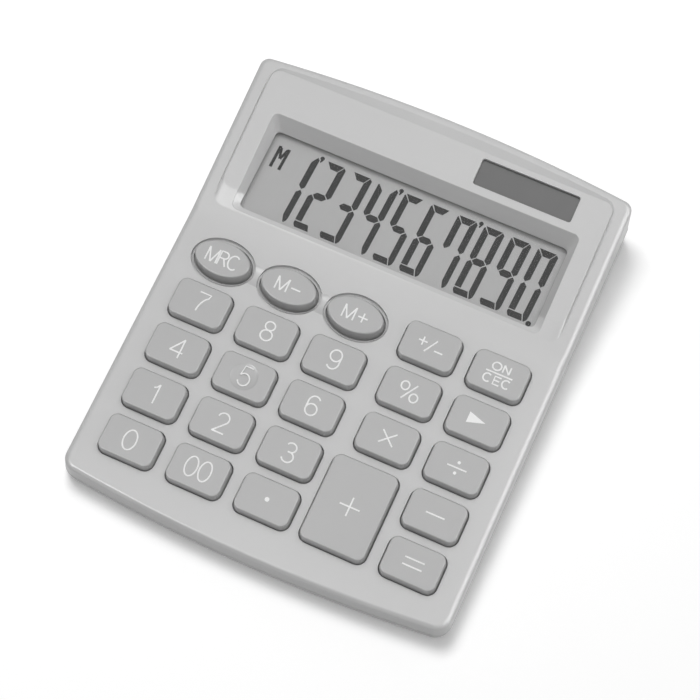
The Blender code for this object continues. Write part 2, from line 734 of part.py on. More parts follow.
def build_top_housing(keys, material, keypad, panel):
    edge = []
    for step in range(EDGE_STEPS + 1):
        turn = math.pi / 2 * step / EDGE_STEPS
        inset = WALL_FLARE + EDGE_RADIUS * (1 - math.cos(turn))
        drop = EDGE_RADIUS * (1 - math.sin(turn))
        edge.append((inset, lambda y, drop=drop: face_height(y) - drop))
    levels = [
        (SIDE_WALL, lambda y: face_height(y) - TOP_WALL),
        (SIDE_WALL, parting_height),
        (0.0, parting_height),
    ] + edge
    housing = case_shell("top_housing", levels, material)
    join(housing, display_panel_shape())
    join(housing, display_pocket(keypad))
    bosses = []
    bores = []
    bottom = case_seat_height() + SEAT_THICKNESS + GAP
    for _, x, y in case_screws():
        top = face_height(y) - TOP_WALL / 2
        outline = circle(BOSS_RADIUS, centre=(x, y))
        bosses.append([level(outline, bottom), level(outline, top)])
        bore = circle(SCREW_SHANK_RADIUS + GAP, centre=(x, y))
        deepest = bottom + SCREW_GRIP + GAP
        bores.append([level(bore, bottom - OVERRUN), level(bore, deepest)])
    join(housing, group_of_lofts("case_bosses", bosses))
    board_bosses = []
    board_bores = []
    for _, x, y in board_screws():
        outline = circle(BOARD_BOSS_RADIUS, centre=(x, y))
        bottom = BOARD_TOP_LEVEL + THIN_GAP
        board_bosses.append([level(outline, bottom), level(outline, -TOP_WALL / 2)])
        bore = circle(BOARD_SHANK_RADIUS + THIN_GAP, centre=(x, y))
        deepest = bottom + BOARD_SCREW_GRIP + GAP
        board_bores.append([level(bore, bottom - OVERRUN), level(bore, deepest)])
    join(housing, group_of_lofts("board_bosses", board_bosses, keypad))
    underside = -TOP_WALL / 2
    rib_bottom = -TOP_WALL - CELL_RIB_DEPTH
    rib = solar_outline(CELL_MARGIN + GAP + CELL_RIB)
    join(
        housing,
        loft("cell_rib", [level(rib, rib_bottom), level(rib, underside)], parent=panel),
    )
    inside = solar_outline(CELL_MARGIN + GAP)
    loops = [level(inside, rib_bottom - OVERRUN), level(inside, cell_top() + THIN_GAP)]
    cut(housing, loft("cell_pocket_cutter", loops, parent=panel))
    sight = solar_outline(0)
    loops = [level(sight, -TOP_WALL), level(sight, OVERRUN)]
    cut(housing, loft("solar_cutter", loops, parent=panel))
    cut(housing, pocket_cutter(keypad))
    cut(housing, recess_cutter(keypad))
    cut(housing, group_of_lofts("well_cutter", oval_wells(keys), keypad))
    cut(housing, group_of_lofts("link_cutter", well_links(), keypad))
    cut(housing, key_holes(keys, keypad))
    cut(housing, group_of_lofts("case_bores", bores))
    cut(housing, group_of_lofts("board_bores", board_bores, keypad))
    return housing


def case_seat_height():
    """Level on which the heads of the case screws bear."""
    return FOOT_STANDOFF + SCREW_HEAD_HEIGHT + GAP


def feet():
    front = -BODY_LENGTH / 2 + FRONT_FOOT_FROM_FRONT
    back = BODY_LENGTH / 2 - BACK_FOOT_FROM_BACK
    x = BODY_WIDTH / 2 - FOOT_INSET
    return [
        ("front_left", -x, front),
        ("front_right", x, front),
        ("back_left", -x, back),
        ("back_right", x, back),
    ]


def door_outline(grow):
    """The door reaches from behind the cell to past its own screw."""
    back = CELL_Y + CELL_RADIUS + CELL_WALL
    front = door_screw_place()[1] - DOOR_END
    return rectangle_between(
        (CELL_X - DOOR_WIDTH / 2 - grow, front - grow),
        (CELL_X + DOOR_WIDTH / 2 + grow, back + grow),
        DOOR_RADIUS + grow,
        KEY_CORNER_STEPS,
    )


def door_screw_place():
    return CELL_X, CELL_Y - CELL_RADIUS - DOOR_SCREW_SPACING


def board_post_places():
    """Posts that carry the board, on the keypad plane, clear of chip, cell and screws."""
    between = (column_x(DIGIT_COLUMNS) + column_x(DIGIT_COLUMNS + 1)) / 2
    rows = [(row_y(0) + row_y(1)) / 2, (row_y(2) + row_y(3)) / 2]
    places = [(side, y) for side in (-between, between) for y in rows]
    places.append((between, BEND_FROM_FRONT))
    return places


def build_bottom_housing(material, keypad):
    lip = SIDE_WALL + GAP
    levels = [
        (SEAM_INSET + FLOOR, lambda y: FLOOR_TOP),
        (lip + LIP_WALL, lambda y: parting_height(y) + LIP_HEIGHT),
        (lip, lambda y: parting_height(y) + LIP_HEIGHT),
        (lip, lambda y: parting_height(y) - GAP),
        (SEAM_INSET, lambda y: parting_height(y) - GAP),
    ]
    for share, height_share in HULL_EDGE_SHARES:
        height = FOOT_STANDOFF + HULL_EDGE_HEIGHT * height_share
        levels.append((HULL_INSET * share, lambda y, height=height: height))
    housing = case_shell("bottom_housing", levels, material)
    seat = case_seat_height()
    pads = []
    holes = []
    pad_radius = SCREW_HEAD_RADIUS + GAP + BOSS_WALL
    for _, x, y in case_screws():
        pad = circle(pad_radius, centre=(x, y))
        top = seat + SEAT_THICKNESS
        pads.append([level(pad, FLOOR_TOP - OVERLAP), level(pad, top)])
        wide = circle(SCREW_HEAD_RADIUS + GAP, centre=(x, y))
        narrow = circle(SCREW_SHANK_RADIUS + GAP, centre=(x, y))
        holes.append(
            [
                level(wide, FOOT_STANDOFF - OVERRUN),
                level(wide, seat),
                level(narrow, seat),
                level(narrow, top + OVERRUN),
            ]
        )
    for x, y in board_post_places():
        world = KEYPAD_MATRIX @ Vector((x, y, BOARD_LEVEL - GAP))
        post = circle(POST_RADIUS, centre=(world.x, world.y))
        pads.append([level(post, FLOOR_TOP - OVERLAP), level(post, world.z)])
    door_top = FOOT_STANDOFF + DOOR_THICKNESS + THIN_GAP
    ledge_top = door_top + DOOR_LEDGE
    block = door_outline(GAP + CELL_WALL)
    join(housing, group_of_lofts("pads_and_posts", pads))
    loops = [level(block, FLOOR_TOP - OVERLAP), level(block, ledge_top)]
    join(housing, loft("door_surround", loops))
    cell_wall = circle(CELL_RADIUS + GAP + CELL_WALL, CELL_STEPS, (CELL_X, CELL_Y))
    wall_top = door_top + CELL_HEIGHT - CELL_STEP
    loops = [level(cell_wall, ledge_top - OVERLAP), level(cell_wall, wall_top)]
    join(housing, loft("cell_wall", loops))
    door_x, door_y = door_screw_place()
    boss = circle(BOSS_RADIUS, centre=(door_x, door_y))
    loops = [
        level(boss, ledge_top - OVERLAP),
        level(boss, ledge_top + DOOR_BOSS_HEIGHT),
    ]
    join(housing, loft("door_boss", loops))
    opening = door_outline(GAP)
    loops = [level(opening, FOOT_STANDOFF - OVERRUN), level(opening, door_top)]
    cut(housing, loft("door_cutter", loops))
    well = circle(CELL_RADIUS + GAP, CELL_STEPS, (CELL_X, CELL_Y))
    loops = [level(well, door_top - OVERLAP), level(well, wall_top + OVERRUN)]
    cut(housing, loft("cell_cutter", loops))
    slot = rectangle_between(
        (CELL_X + CELL_RADIUS / 2, CELL_Y - CONTACT_WIDTH / 2 - GAP),
        (CELL_X + CELL_RADIUS + GAP + CELL_WALL + OVERRUN, CELL_Y + CONTACT_WIDTH / 2 + GAP),
        GAP,
        KEY_CORNER_STEPS,
    )
    loops = [level(slot, ledge_top), level(slot, wall_top + OVERRUN)]
    cut(housing, loft("contact_slot_cutter", loops))
    bore = circle(SCREW_SHANK_RADIUS + GAP, centre=(door_x, door_y))
    loops = [
        level(bore, FOOT_STANDOFF - OVERRUN),
        level(bore, ledge_top + DOOR_BOSS_HEIGHT - GAP),
    ]
    cut(housing, loft("door_bore", loops))
    cut(housing, group_of_lofts("screw_holes", holes))
    sockets = []
    for _, x, y in feet():
        socket = circle(FOOT_RADIUS + GAP, centre=(x, y))
        top = FOOT_STANDOFF + FOOT_SINK
        sockets.append([level(socket, FOOT_STANDOFF - OVERRUN), level(socket, top)])
    cut(housing, group_of_lofts("foot_sockets", sockets))
    return housing


def build_mat(keys, material, keypad):
    """Rubber sheet with one hollow dome under each key."""
    left = -GRID_WIDTH / 2 - MAT_MARGIN
    front = KEYPAD_FRONT_MARGIN + MAT_MARGIN
    back = row_y(ROWS - 1) + KEY_HOLE_DEPTH / 2
    sheet = rectangle_between(
        (left, front), (-left, back), KEY_HOLE_RADIUS, KEY_CORNER_STEPS
    )
    mat = loft(
        "key_mat",
        [level(sheet, MAT_LEVEL), level(sheet, MAT_TOP_LEVEL)],
        material,
        keypad,
    )
    domes = []
    hollows = []
    for _, _, place, _ in keys:
        low = circle(DOME_RADIUS, DOME_STEPS, place)
        high = circle(DOME_TOP_RADIUS, DOME_STEPS, place)
        middle = MAT_LEVEL + MAT_THICKNESS / 2
        domes.append([level(low, middle), level(low, MAT_TOP_LEVEL), level(high, DOME_TOP_LEVEL)])
        wide = circle(DOME_RADIUS - DOME_SKIN, DOME_STEPS, place)
        narrow = circle(DOME_TOP_RADIUS - DOME_SKIN, DOME_STEPS, place)
        ceiling = DOME_TOP_LEVEL - 2 * DOME_SKIN
        hollows.append([level(wide, MAT_LEVEL - DOME_SKIN), level(narrow, ceiling)])
    join(mat, group_of_lofts("domes", domes, keypad))
    cut(mat, group_of_lofts("dome_hollows", hollows, keypad))
    holes = []
    for name, x, y in board_screws():
        if name.startswith("middle"):
            hole = circle(BOARD_BOSS_RADIUS + GAP, centre=(x, y))
            holes.append(
                [level(hole, MAT_LEVEL - OVERRUN), level(hole, MAT_TOP_LEVEL + OVERRUN)]
            )
    cut(mat, group_of_lofts("mat_holes", holes, keypad))
    return mat


def build_board(material, keypad):
    outline = rectangle_between(
        (-BOARD_WIDTH / 2, KEYPAD_FRONT_MARGIN),
        (BOARD_WIDTH / 2, BOARD_BACK),
        KEY_EDGE_RADIUS,
        KEY_CORNER_STEPS,
    )
    loops = [level(outline, BOARD_LEVEL), level(outline, BOARD_TOP_LEVEL)]
    board = loft("circuit_board", loops, material, keypad)
    holes = []
    for _, x, y in board_screws():
        hole = circle(BOARD_SHANK_RADIUS + THIN_GAP, centre=(x, y))
        low = level(hole, BOARD_LEVEL - OVERRUN)
        holes.append([low, level(hole, BOARD_TOP_LEVEL + OVERRUN)])
    cut(board, group_of_lofts("board_holes", holes, keypad))
    return board


def build_display(materials, keypad):
    low, high = sight_corners(WINDOW_MARGIN)
    outline = rectangle_between(low, high, SIGHT_RADIUS, KEY_CORNER_STEPS)
    loops = [level(outline, WINDOW_LEVEL), level(outline, WINDOW_TOP_LEVEL)]
    loft("display_window", loops, materials["window"], keypad)
    low, high = sight_corners(GLASS_MARGIN)
    outline = rectangle_between(low, high, SIGHT_RADIUS, KEY_CORNER_STEPS)
    loops = [level(outline, GLASS_LEVEL), level(outline, GLASS_TOP_LEVEL)]
    loft("lcd_glass", loops, materials["glass"], keypad)
    top = GLASS_LEVEL - THIN_GAP
    bottom = BOARD_TOP_LEVEL + THIN_GAP
    front = low[1] + STRIP_WIDTH / 2
    strip = rectangle_between(
        (low[0] + STRIP_END, front),
        (high[0] - STRIP_END, front + STRIP_WIDTH),
        STRIP_WIDTH / 4,
        KEY_CORNER_STEPS,
    )
    loops = [level(strip, bottom), level(strip, top)]
    loft("contact_strip", loops, materials["rubber"], keypad)


def cell_top():
    """Level of the solar cell's upper side, from the bare face's plane."""
    return PANEL_RAISE - CELL_SINK


def build_solar_cell(material, panel):
    outline = solar_outline(CELL_MARGIN)
    top = cell_top()
    loops = [level(outline, top - CELL_THICKNESS), level(outline, top)]
    loft("solar_cell", loops, material, panel)


def wire(name, points, material):
    """Insulated wire along points, as a filled tube."""
    curve = bpy.data.curves.new(name, "CURVE")
    curve.dimensions = "3D"
    curve.bevel_depth = WIRE_RADIUS
    curve.bevel_resolution = 2
    curve.use_fill_caps = True
    spline = curve.splines.new("POLY")
    spline.points.add(len(points) - 1)
    for slot, point in zip(spline.points, points):
        slot.co = (*point, 1.0)
    curve.materials.append(material)
    obj = bpy.data.objects.new(name, curve)
    bpy.context.scene.collection.objects.link(obj)
    return obj


def build_wires(materials):
    """Two leads from the underside of the solar cell down to the back of the board."""
    board = KEYPAD_MATRIX @ Vector((0, BOARD_BACK, BOARD_LEVEL))
    for name, side in (("solar_lead_positive", 1), ("solar_lead_negative", -1)):
        x = SOLAR_X + side * WIRE_SPACING
        y = SOLAR_FROM_BEND / math.cos(PANEL_TILT)
        start = PANEL_MATRIX @ Vector((x, y, cell_top() - CELL_THICKNESS - GAP))
        end = Vector((x, board.y - WIRE_DROP, board.z - GAP - WIRE_RADIUS))
        low = Vector((x, start.y, end.z - WIRE_DROP / 2))
        points = []
        for index in range(WIRE_BEND_POINTS + 1):
            t = index / WIRE_BEND_POINTS
            points.append(start * (1 - t) ** 2 + low * 2 * t * (1 - t) + end * t**2)
        wire(name, points, materials[name])


def build_button_cell(materials):
    bottom = FOOT_STANDOFF + DOOR_THICKNESS + THIN_GAP
    rim = CELL_RADIUS - CELL_STEP
    loops = [
        level(circle(rim, CELL_STEPS), 0),
        level(circle(CELL_RADIUS, CELL_STEPS), CELL_STEP / 2),
        level(circle(CELL_RADIUS, CELL_STEPS), CELL_HEIGHT - CELL_STEP),
        level(circle(rim, CELL_STEPS), CELL_HEIGHT - CELL_STEP),
        level(circle(rim, CELL_STEPS), CELL_HEIGHT),
    ]
    place = (CELL_X, CELL_Y, bottom)
    loft("button_cell", loops, materials["steel"], location=place)
    top = bottom + CELL_HEIGHT + THIN_GAP + CONTACT_THICKNESS
    board = KEYPAD_MATRIX @ Vector((0, CELL_Y + BODY_LENGTH / 2, BOARD_LEVEL))
    solder = board.z - GAP - CONTACT_WIDTH / 2 * KEYPAD_SLOPE
    sheet = CONTACT_THICKNESS
    reach = CELL_RADIUS + GAP + CELL_WALL + CONTACT_REACH
    upper = [
        (CELL_X + rim / 2, top),
        (CELL_X - reach + sheet, top),
        (CELL_X - reach + sheet, solder),
        (CELL_X - reach, solder),
        (CELL_X - reach, top - sheet),
        (CELL_X + rim / 2, top - sheet),
    ]
    strip("contact_negative", upper, materials["spring"])
    side = CELL_X + CELL_RADIUS + THIN_GAP
    foot = bottom + DOOR_LEDGE + GAP
    flag = CONTACT_REACH / 2
    lower = [
        (side, foot),
        (side + sheet, foot),
        (side + sheet, solder - sheet),
        (side + sheet + flag, solder - sheet),
        (side + sheet + flag, solder),
        (side, solder),
    ]
    strip("contact_positive", lower, materials["spring"])


def strip(name, profile, material):
    """Bent metal strip: a profile in X and Z, as wide as the contacts, centred on the cell."""
    near = [Vector((x, CELL_Y - CONTACT_WIDTH / 2, z)) for x, z in profile]
    far = [Vector((x, CELL_Y + CONTACT_WIDTH / 2, z)) for x, z in profile]
    return loft(name, [near, far], material)


def build_door(materials):
    outline = door_outline(0)
    loops = [
        level(outline, FOOT_STANDOFF),
        level(outline, FOOT_STANDOFF + DOOR_THICKNESS),
    ]
    door = loft("battery_door", loops, materials["case"])
    x, y = door_screw_place()
    wide = circle(SCREW_HEAD_RADIUS + GAP, centre=(x, y))
    narrow = circle(SCREW_SHANK_RADIUS + GAP, centre=(x, y))
    seat = FOOT_STANDOFF + DOOR_HEAD_HEIGHT + THIN_GAP
    loops = [
        level(wide, FOOT_STANDOFF - OVERRUN),
        level(wide, seat),
        level(narrow, seat),
        level(narrow, FOOT_STANDOFF + DOOR_THICKNESS + OVERRUN),
    ]
    cut(door, loft("door_screw_hole", loops))
    grip = DOOR_LEDGE + DOOR_BOSS_HEIGHT
    screw(
        "door_screw",
        SCREW_SHANK_RADIUS,
        SCREW_HEAD_RADIUS,
        DOOR_HEAD_HEIGHT,
        grip,
        materials["steel"],
        None,
        (x, y, seat - THIN_GAP / 2),
    )


def build_feet(material):
    """Round rubber feet, glued into shallow sockets."""
    height = FOOT_STANDOFF + FOOT_SINK - THIN_GAP
    for name, x, y in feet():
        loops = [
            level(circle(FOOT_RADIUS - FOOT_EDGE), 0),
            level(circle(FOOT_RADIUS), FOOT_EDGE),
            level(circle(FOOT_RADIUS), height),
        ]
        loft("foot_" + name, loops, material, location=(x, y, 0))


def build_fasteners(material, keypad):
    seat = case_seat_height()
    for name, x, y in case_screws():
        length = THIN_GAP + SEAT_THICKNESS + SCREW_GRIP
        screw(
            "case_screw_" + name,
            SCREW_SHANK_RADIUS,
            SCREW_HEAD_RADIUS,
            SCREW_HEAD_HEIGHT,
            length,
            material,
            None,
            (x, y, seat - THIN_GAP),
        )
    for name, x, y in board_screws():
        length = BOARD_THICKNESS + THIN_GAP + BOARD_SCREW_GRIP
        screw(
            "board_screw_" + name,
            BOARD_SHANK_RADIUS,
            BOARD_HEAD_RADIUS,
            BOARD_HEAD_HEIGHT,
            length,
            material,
            keypad,
            (x, y, BOARD_LEVEL - THIN_GAP),
        )


def build_chip(material, keypad):
    """Drop of black resin over the chip, on the underside of the board."""
    top = BOARD_LEVEL - THIN_GAP
    loops = []
    for share, depth_share in CHIP_SHARES:
        loops.append(level(circle(CHIP_RADIUS * share), top - CHIP_HEIGHT * depth_share))
    place = (CHIP_X, BEND_FROM_FRONT + CHIP_FROM_BEND, 0)
    loft("chip_cover", loops, material, keypad, place)


def build_calculator():
    clear_scene()
    materials = {
        "case": new_material("grey_case_plastic", (0.60, 0.60, 0.60), 0.42),
        "key": new_material("grey_key_plastic", (0.47, 0.47, 0.47), 0.38),
        "rubber": new_material("silicone_rubber", (0.30, 0.30, 0.31), 0.75),
        "foot": new_material("foot_rubber", (0.05, 0.05, 0.05), 0.85),
        "window": new_material("clear_acrylic", (0.85, 0.87, 0.87), 0.08, 0.0, 0.35),
        "glass": new_material("lcd_grey", (0.46, 0.47, 0.46), 0.25),
        "solar": new_material("solar_silicon", (0.06, 0.05, 0.05), 0.18),
        "board": new_material("phenolic_board", (0.36, 0.22, 0.09), 0.55),
        "chip": new_material("black_resin", (0.02, 0.02, 0.02), 0.35),
        "steel": new_material("plated_steel", (0.62, 0.62, 0.61), 0.30, 1.0),
        "spring": new_material("nickel_strip", (0.66, 0.63, 0.56), 0.28, 1.0),
        "solar_lead_positive": new_material("red_insulation", (0.55, 0.04, 0.03), 0.5),
        "solar_lead_negative": new_material("black_insulation", (0.03, 0.03, 0.03), 0.5),
    }
    keypad = frame_object("keypad_frame", KEYPAD_MATRIX)
    panel = frame_object("panel_frame", PANEL_MATRIX)
    keys = key_layout()
    build_top_housing(keys, materials["case"], keypad, panel)
    build_bottom_housing(materials["case"], keypad)
    for name, kind, place, half in keys:
        key_cap(name, kind, place, half, materials["key"], keypad)
    build_mat(keys, materials["rubber"], keypad)
    build_board(materials["board"], keypad)
    build_display(materials, keypad)
    build_solar_cell(materials["solar"], panel)
    build_wires(materials)
    build_chip(materials["chip"], keypad)
    build_button_cell(materials)
    build_door(materials)
    build_fasteners(materials["steel"], keypad)
    build_feet(materials["foot"])


build_calculator()
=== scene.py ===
"""Desktop calculator on a plain pale desk, seen from above its front right corner."""

import math

import bmesh
import bpy
from mathutils import Matrix, Vector


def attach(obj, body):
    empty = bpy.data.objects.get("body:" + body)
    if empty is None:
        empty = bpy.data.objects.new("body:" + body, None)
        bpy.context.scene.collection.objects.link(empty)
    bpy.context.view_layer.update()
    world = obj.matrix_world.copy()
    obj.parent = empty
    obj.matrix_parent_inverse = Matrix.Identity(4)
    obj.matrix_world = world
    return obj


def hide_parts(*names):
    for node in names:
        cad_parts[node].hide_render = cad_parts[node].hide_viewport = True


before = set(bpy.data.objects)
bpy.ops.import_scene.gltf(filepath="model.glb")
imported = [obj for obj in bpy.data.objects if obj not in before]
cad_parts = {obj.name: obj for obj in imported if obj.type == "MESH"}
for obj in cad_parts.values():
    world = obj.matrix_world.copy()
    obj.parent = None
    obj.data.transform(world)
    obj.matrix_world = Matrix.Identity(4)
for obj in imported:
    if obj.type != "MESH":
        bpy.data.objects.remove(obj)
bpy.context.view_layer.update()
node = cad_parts


# ---- Bottom housing ----
# A shallow tray, injection moulded from the same light grey ABS as the top. Its wall stands a
# hair proud of the top's, a fine gap marks the parting line, and it takes screws, feet and door.

WIDTH = 0.1058
LENGTH = 0.1264
FRONT_HEIGHT = 0.0088  # keypad face above the desk, at the front edge
KEYPAD_TILT = math.radians(2.5)
FRONT_CORNER = 0.0036
BACK_CORNER = 0.0024
FRONT_BOW = 0.0029
BACK_BOW = 0.0028
PARTING_DROP = 0.0047
TRAY_PROUD = 0.0001
WALL = 0.0018
UNDERSIDE = 0.0008
FLOOR_TOP = 0.0024
LEAST_CORNER = 0.0010
CURVE_CUTS = 23  # the bowed front and back edges are divided so many times


def begin(name, add, **how):
    """Add a primitive with nothing else selected, name it and open it for editing."""
    bpy.ops.object.select_all(action="DESELECT")
    add(**how)
    piece = bpy.context.object
    piece.name = name
    piece.data.name = name
    bpy.ops.object.transform_apply(location=True, rotation=True, scale=True)
    bpy.ops.object.mode_set(mode="EDIT")
    return piece


def choose(kind, test):
    """Select only the faces or edges whose middle and direction pass the test."""
    bpy.ops.mesh.select_mode(type=kind)
    bpy.ops.mesh.select_all(action="DESELECT")
    mesh = bmesh.from_edit_mesh(bpy.context.object.data)
    if kind == "FACE":
        for face in mesh.faces:
            face.select_set(test(face.calc_center_median(), face.normal))
    else:
        for edge in mesh.edges:
            start, end = (vert.co for vert in edge.verts)
            if test((start + end) / 2, (end - start).normalized()):
                edge.select_set(True)
    bmesh.update_edit_mesh(bpy.context.object.data)


def choose_top():
    choose("FACE", lambda middle, way: way.z > 0.9)


def choose_bottom():
    choose("FACE", lambda middle, way: way.z < -0.9)


def bevel_edges(test, size, steps):
    choose("EDGE", test)
    bpy.ops.mesh.bevel(offset=size, segments=steps, affect="EDGES")


def block(name, plan, low, high, corner=0.0, steps=1, spot=(0, 0)):
    """Block between two heights, its upright edges rounded where a corner is given."""
    piece = begin(
        name,
        bpy.ops.mesh.primitive_cube_add,
        size=1,
        location=(*spot, (low + high) / 2),
        scale=(*plan, high - low),
    )
    if corner:
        bevel_edges(lambda middle, way: abs(way.z) > 0.9, corner, steps)
    return piece


def disc(name, radii, low, high, sides, spot=(0, 0)):
    """Round or oval disc between two heights."""
    return begin(
        name,
        bpy.ops.mesh.primitive_cylinder_add,
        vertices=sides,
        radius=1,
        depth=high - low,
        location=(*spot, (low + high) / 2),
        scale=(*radii, 1),
    )


def step_in(thickness, depth=0.0):
    """Inset the selected face and push it out along its normal."""
    bpy.ops.mesh.inset(thickness=thickness, depth=depth, use_even_offset=True)


def round_over(radius, steps):
    """Turn the selected face's border over in a quarter round, outwards."""
    for step in range(steps):
        low = math.pi / 2 * step / steps
        high = math.pi / 2 * (step + 1) / steps
        step_in(
            radius * (math.cos(low) - math.cos(high)),
            radius * (math.sin(high) - math.sin(low)),
        )


def case_slab(name, inset, low, high):
    """Slab with the case's plan: rounded corners, and front and back edges that bulge."""
    piece = block(name, (WIDTH - 2 * inset, LENGTH - 2 * inset), low, high)
    for side, corner in ((-1, FRONT_CORNER), (1, BACK_CORNER)):
        bevel_edges(
            lambda middle, way: abs(way.z) > 0.9 and middle.y * side > 0,
            max(corner - inset, LEAST_CORNER),
            8,
        )
    choose("EDGE", lambda middle, way: abs(way.x) > 0.99 and abs(middle.x) < WIDTH / 10)
    bpy.ops.mesh.subdivide(number_cuts=CURVE_CUTS)
    for vert in bmesh.from_edit_mesh(piece.data).verts:
        bow = BACK_BOW if vert.co.y > 0 else -FRONT_BOW
        vert.co.y -= bow * (2 * vert.co.x / WIDTH) ** 2
    bmesh.update_edit_mesh(piece.data)
    return piece


def keypad_height(y):
    return FRONT_HEIGHT + math.tan(KEYPAD_TILT) * (y + LENGTH / 2)


def close(piece):
    """Leave edit mode with all normals pointing out."""
    bmesh.update_edit_mesh(piece.data)
    bpy.ops.mesh.select_all(action="SELECT")
    bpy.ops.mesh.normals_make_consistent(inside=False)
    if bmesh.from_edit_mesh(piece.data).calc_volume(signed=True) < 0:
        bpy.ops.mesh.flip_normals()
    bpy.ops.object.mode_set(mode="OBJECT")
    return piece


def pick(piece):
    """Select this piece alone and make it the active one."""
    bpy.ops.object.select_all(action="DESELECT")
    bpy.context.view_layer.objects.active = piece
    piece.select_set(True)


def discard(*pieces):
    for piece in pieces:
        bpy.data.objects.remove(piece, do_unlink=True)


def cut_out(piece, tools, operation="DIFFERENCE"):
    """Apply boolean modifiers with the tools, then remove the tools."""
    for tool in tools:
        pick(piece)
        modifier = piece.modifiers.new("cut", "BOOLEAN")
        modifier.operation = operation
        modifier.solver = "EXACT"
        modifier.object = tool
        bpy.ops.object.modifier_apply(modifier=modifier.name)
        discard(tool)


def smooth(piece, degrees=30):
    """Smooth shading in which flat faces stay flat and only their rounded borders turn."""
    pick(piece)
    bpy.ops.object.shade_smooth_by_angle(angle=math.radians(degrees))
    modifier = piece.modifiers.new("weighted", "WEIGHTED_NORMAL")
    modifier.keep_sharp = True
    modifier.weight = 100
    modifier.thresh = 0.0
    bpy.ops.object.modifier_apply(modifier=modifier.name)


def linear(hex_colour):
    """Linear colour of an sRGB hex value."""
    parts = [int(hex_colour[index : index + 2], 16) / 255 for index in (1, 3, 5)]
    return (
        *(part / 12.92 if part <= 0.04045 else ((part + 0.055) / 1.055) ** 2.4 for part in parts),
        1.0,
    )


def feed(fed, inputs):
    """Set a node's inputs. Each is a value or the output socket that feeds it."""
    for name, value in inputs.items():
        if isinstance(value, bpy.types.NodeSocket):
            fed.id_data.links.new(value, fed.inputs[name])
        else:
            fed.inputs[name].default_value = value


def add_node(material, kind, inputs=None, **settings):
    """Add a node with its settings and what feeds it."""
    added = material.node_tree.nodes.new(kind)
    for name, value in settings.items():
        setattr(added, name, value)
    feed(added, inputs or {})
    return added


def shader_of(material):
    return material.node_tree.nodes["Principled BSDF"]


def inside(material):
    """Where a point of the material lies, in metres."""
    return add_node(material, "ShaderNodeTexCoord").outputs["Object"]


def toned(name, base, lighter, scale, roughness, specular=0.5, detail=2.0):
    """Material whose colour drifts softly between two tones."""
    material = bpy.data.materials.new(name)
    material.use_nodes = True
    here = inside(material)
    drift = add_node(
        material, "ShaderNodeTexNoise", {"Vector": here, "Scale": scale, "Detail": detail}
    )
    tint = add_node(
        material,
        "ShaderNodeMix",
        {0: drift.outputs["Fac"], 6: linear(base), 7: linear(lighter)},
        data_type="RGBA",
    )
    looks = {"Base Color": tint.outputs[2], "Roughness": roughness, "Specular IOR Level": specular}
    feed(shader_of(material), looks)
    return material


FLOW = 0.017  # flow marks in a moulding are about so far apart
PLASTIC_IOR = 1.53
GLOSS_SPREAD = 0.05


def grained(name, base, lighter, grain, roughness, bump, metal=False):
    """Toned material with a fine grain in its gloss and relief."""
    material = toned(name, base, lighter, 1 / FLOW, roughness, detail=3.0)
    here = inside(material)
    fine = add_node(
        material, "ShaderNodeTexNoise", {"Vector": here, "Scale": 1 / grain, "Detail": 2.0}
    )
    spread = add_node(
        material,
        "ShaderNodeMapRange",
        {
            "Value": fine.outputs["Fac"],
            "To Min": roughness - GLOSS_SPREAD,
            "To Max": roughness + GLOSS_SPREAD,
        },
    )
    relief = add_node(
        material,
        "ShaderNodeBump",
        {"Height": fine.outputs["Fac"], "Strength": bump, "Distance": grain / 4},
    )
    looks = {"Roughness": spread.outputs["Result"], "Normal": relief.outputs["Normal"]}
    feed(shader_of(material), looks | ({"Metallic": 1.0} if metal else {"IOR": PLASTIC_IOR}))
    return material


def finish(piece, *materials):
    """Give a piece its materials and its smooth shading."""
    piece.data.materials.clear()
    for material in materials:
        piece.data.materials.append(material)
    smooth(piece)


# Moulded ABS has faint flow marks in its colour and the satin of a spark-eroded mould, which is
# finer than a pixel and is drawn about three times as coarse.
case_abs = grained("satin_abs_light_grey", "#C6C6C6", "#CACACA", 0.00025, 0.34, 0.10)

PARTING_GAP = 0.0003
DRAFT = 0.0003  # the tray's wall leans in by this at its foot
FOOT_ROUND = 0.0004
RIM_FLAT = 0.0002  # the outer edge of the rim is broken by this
LIP_RISE = 0.0012  # a lip inside the rim stands this high, to centre the top housing
BLANK_TOP = 0.01  # the rim is lifted from here to the parting line

tray = case_slab("bottom_tray", -TRAY_PROUD, UNDERSIDE + FOOT_ROUND, BLANK_TOP)
choose_bottom()
round_over(FOOT_ROUND, 4)
choose_top()
step_in(RIM_FLAT, RIM_FLAT)
step_in(WALL + RIM_FLAT / 2)
step_in(0.0, LIP_RISE)
for vert in bmesh.from_edit_mesh(tray.data).verts:
    if vert.co.z < BLANK_TOP / 2:
        vert.co.x *= 1 - 2 * DRAFT / WIDTH
        vert.co.y *= 1 - 2 * DRAFT / LENGTH
    else:
        lift = keypad_height(vert.co.y) - PARTING_DROP - PARTING_GAP
        vert.co.z += lift - BLANK_TOP - RIM_FLAT
close(tray)
hollow = close(case_slab("tray_hollow", WALL + LIP_RISE - TRAY_PROUD, FLOOR_TOP, 2 * BLANK_TOP))
cut_out(tray, [hollow])


def post(name, radius, low, high, spot):
    """Round upright, for a boss or a hole."""
    return close(disc(name, (radius, radius), low, high, 48, spot))


def joined(pieces):
    pick(pieces[0])
    for piece in pieces:
        piece.select_set(True)
    bpy.ops.object.join()
    return pieces[0]


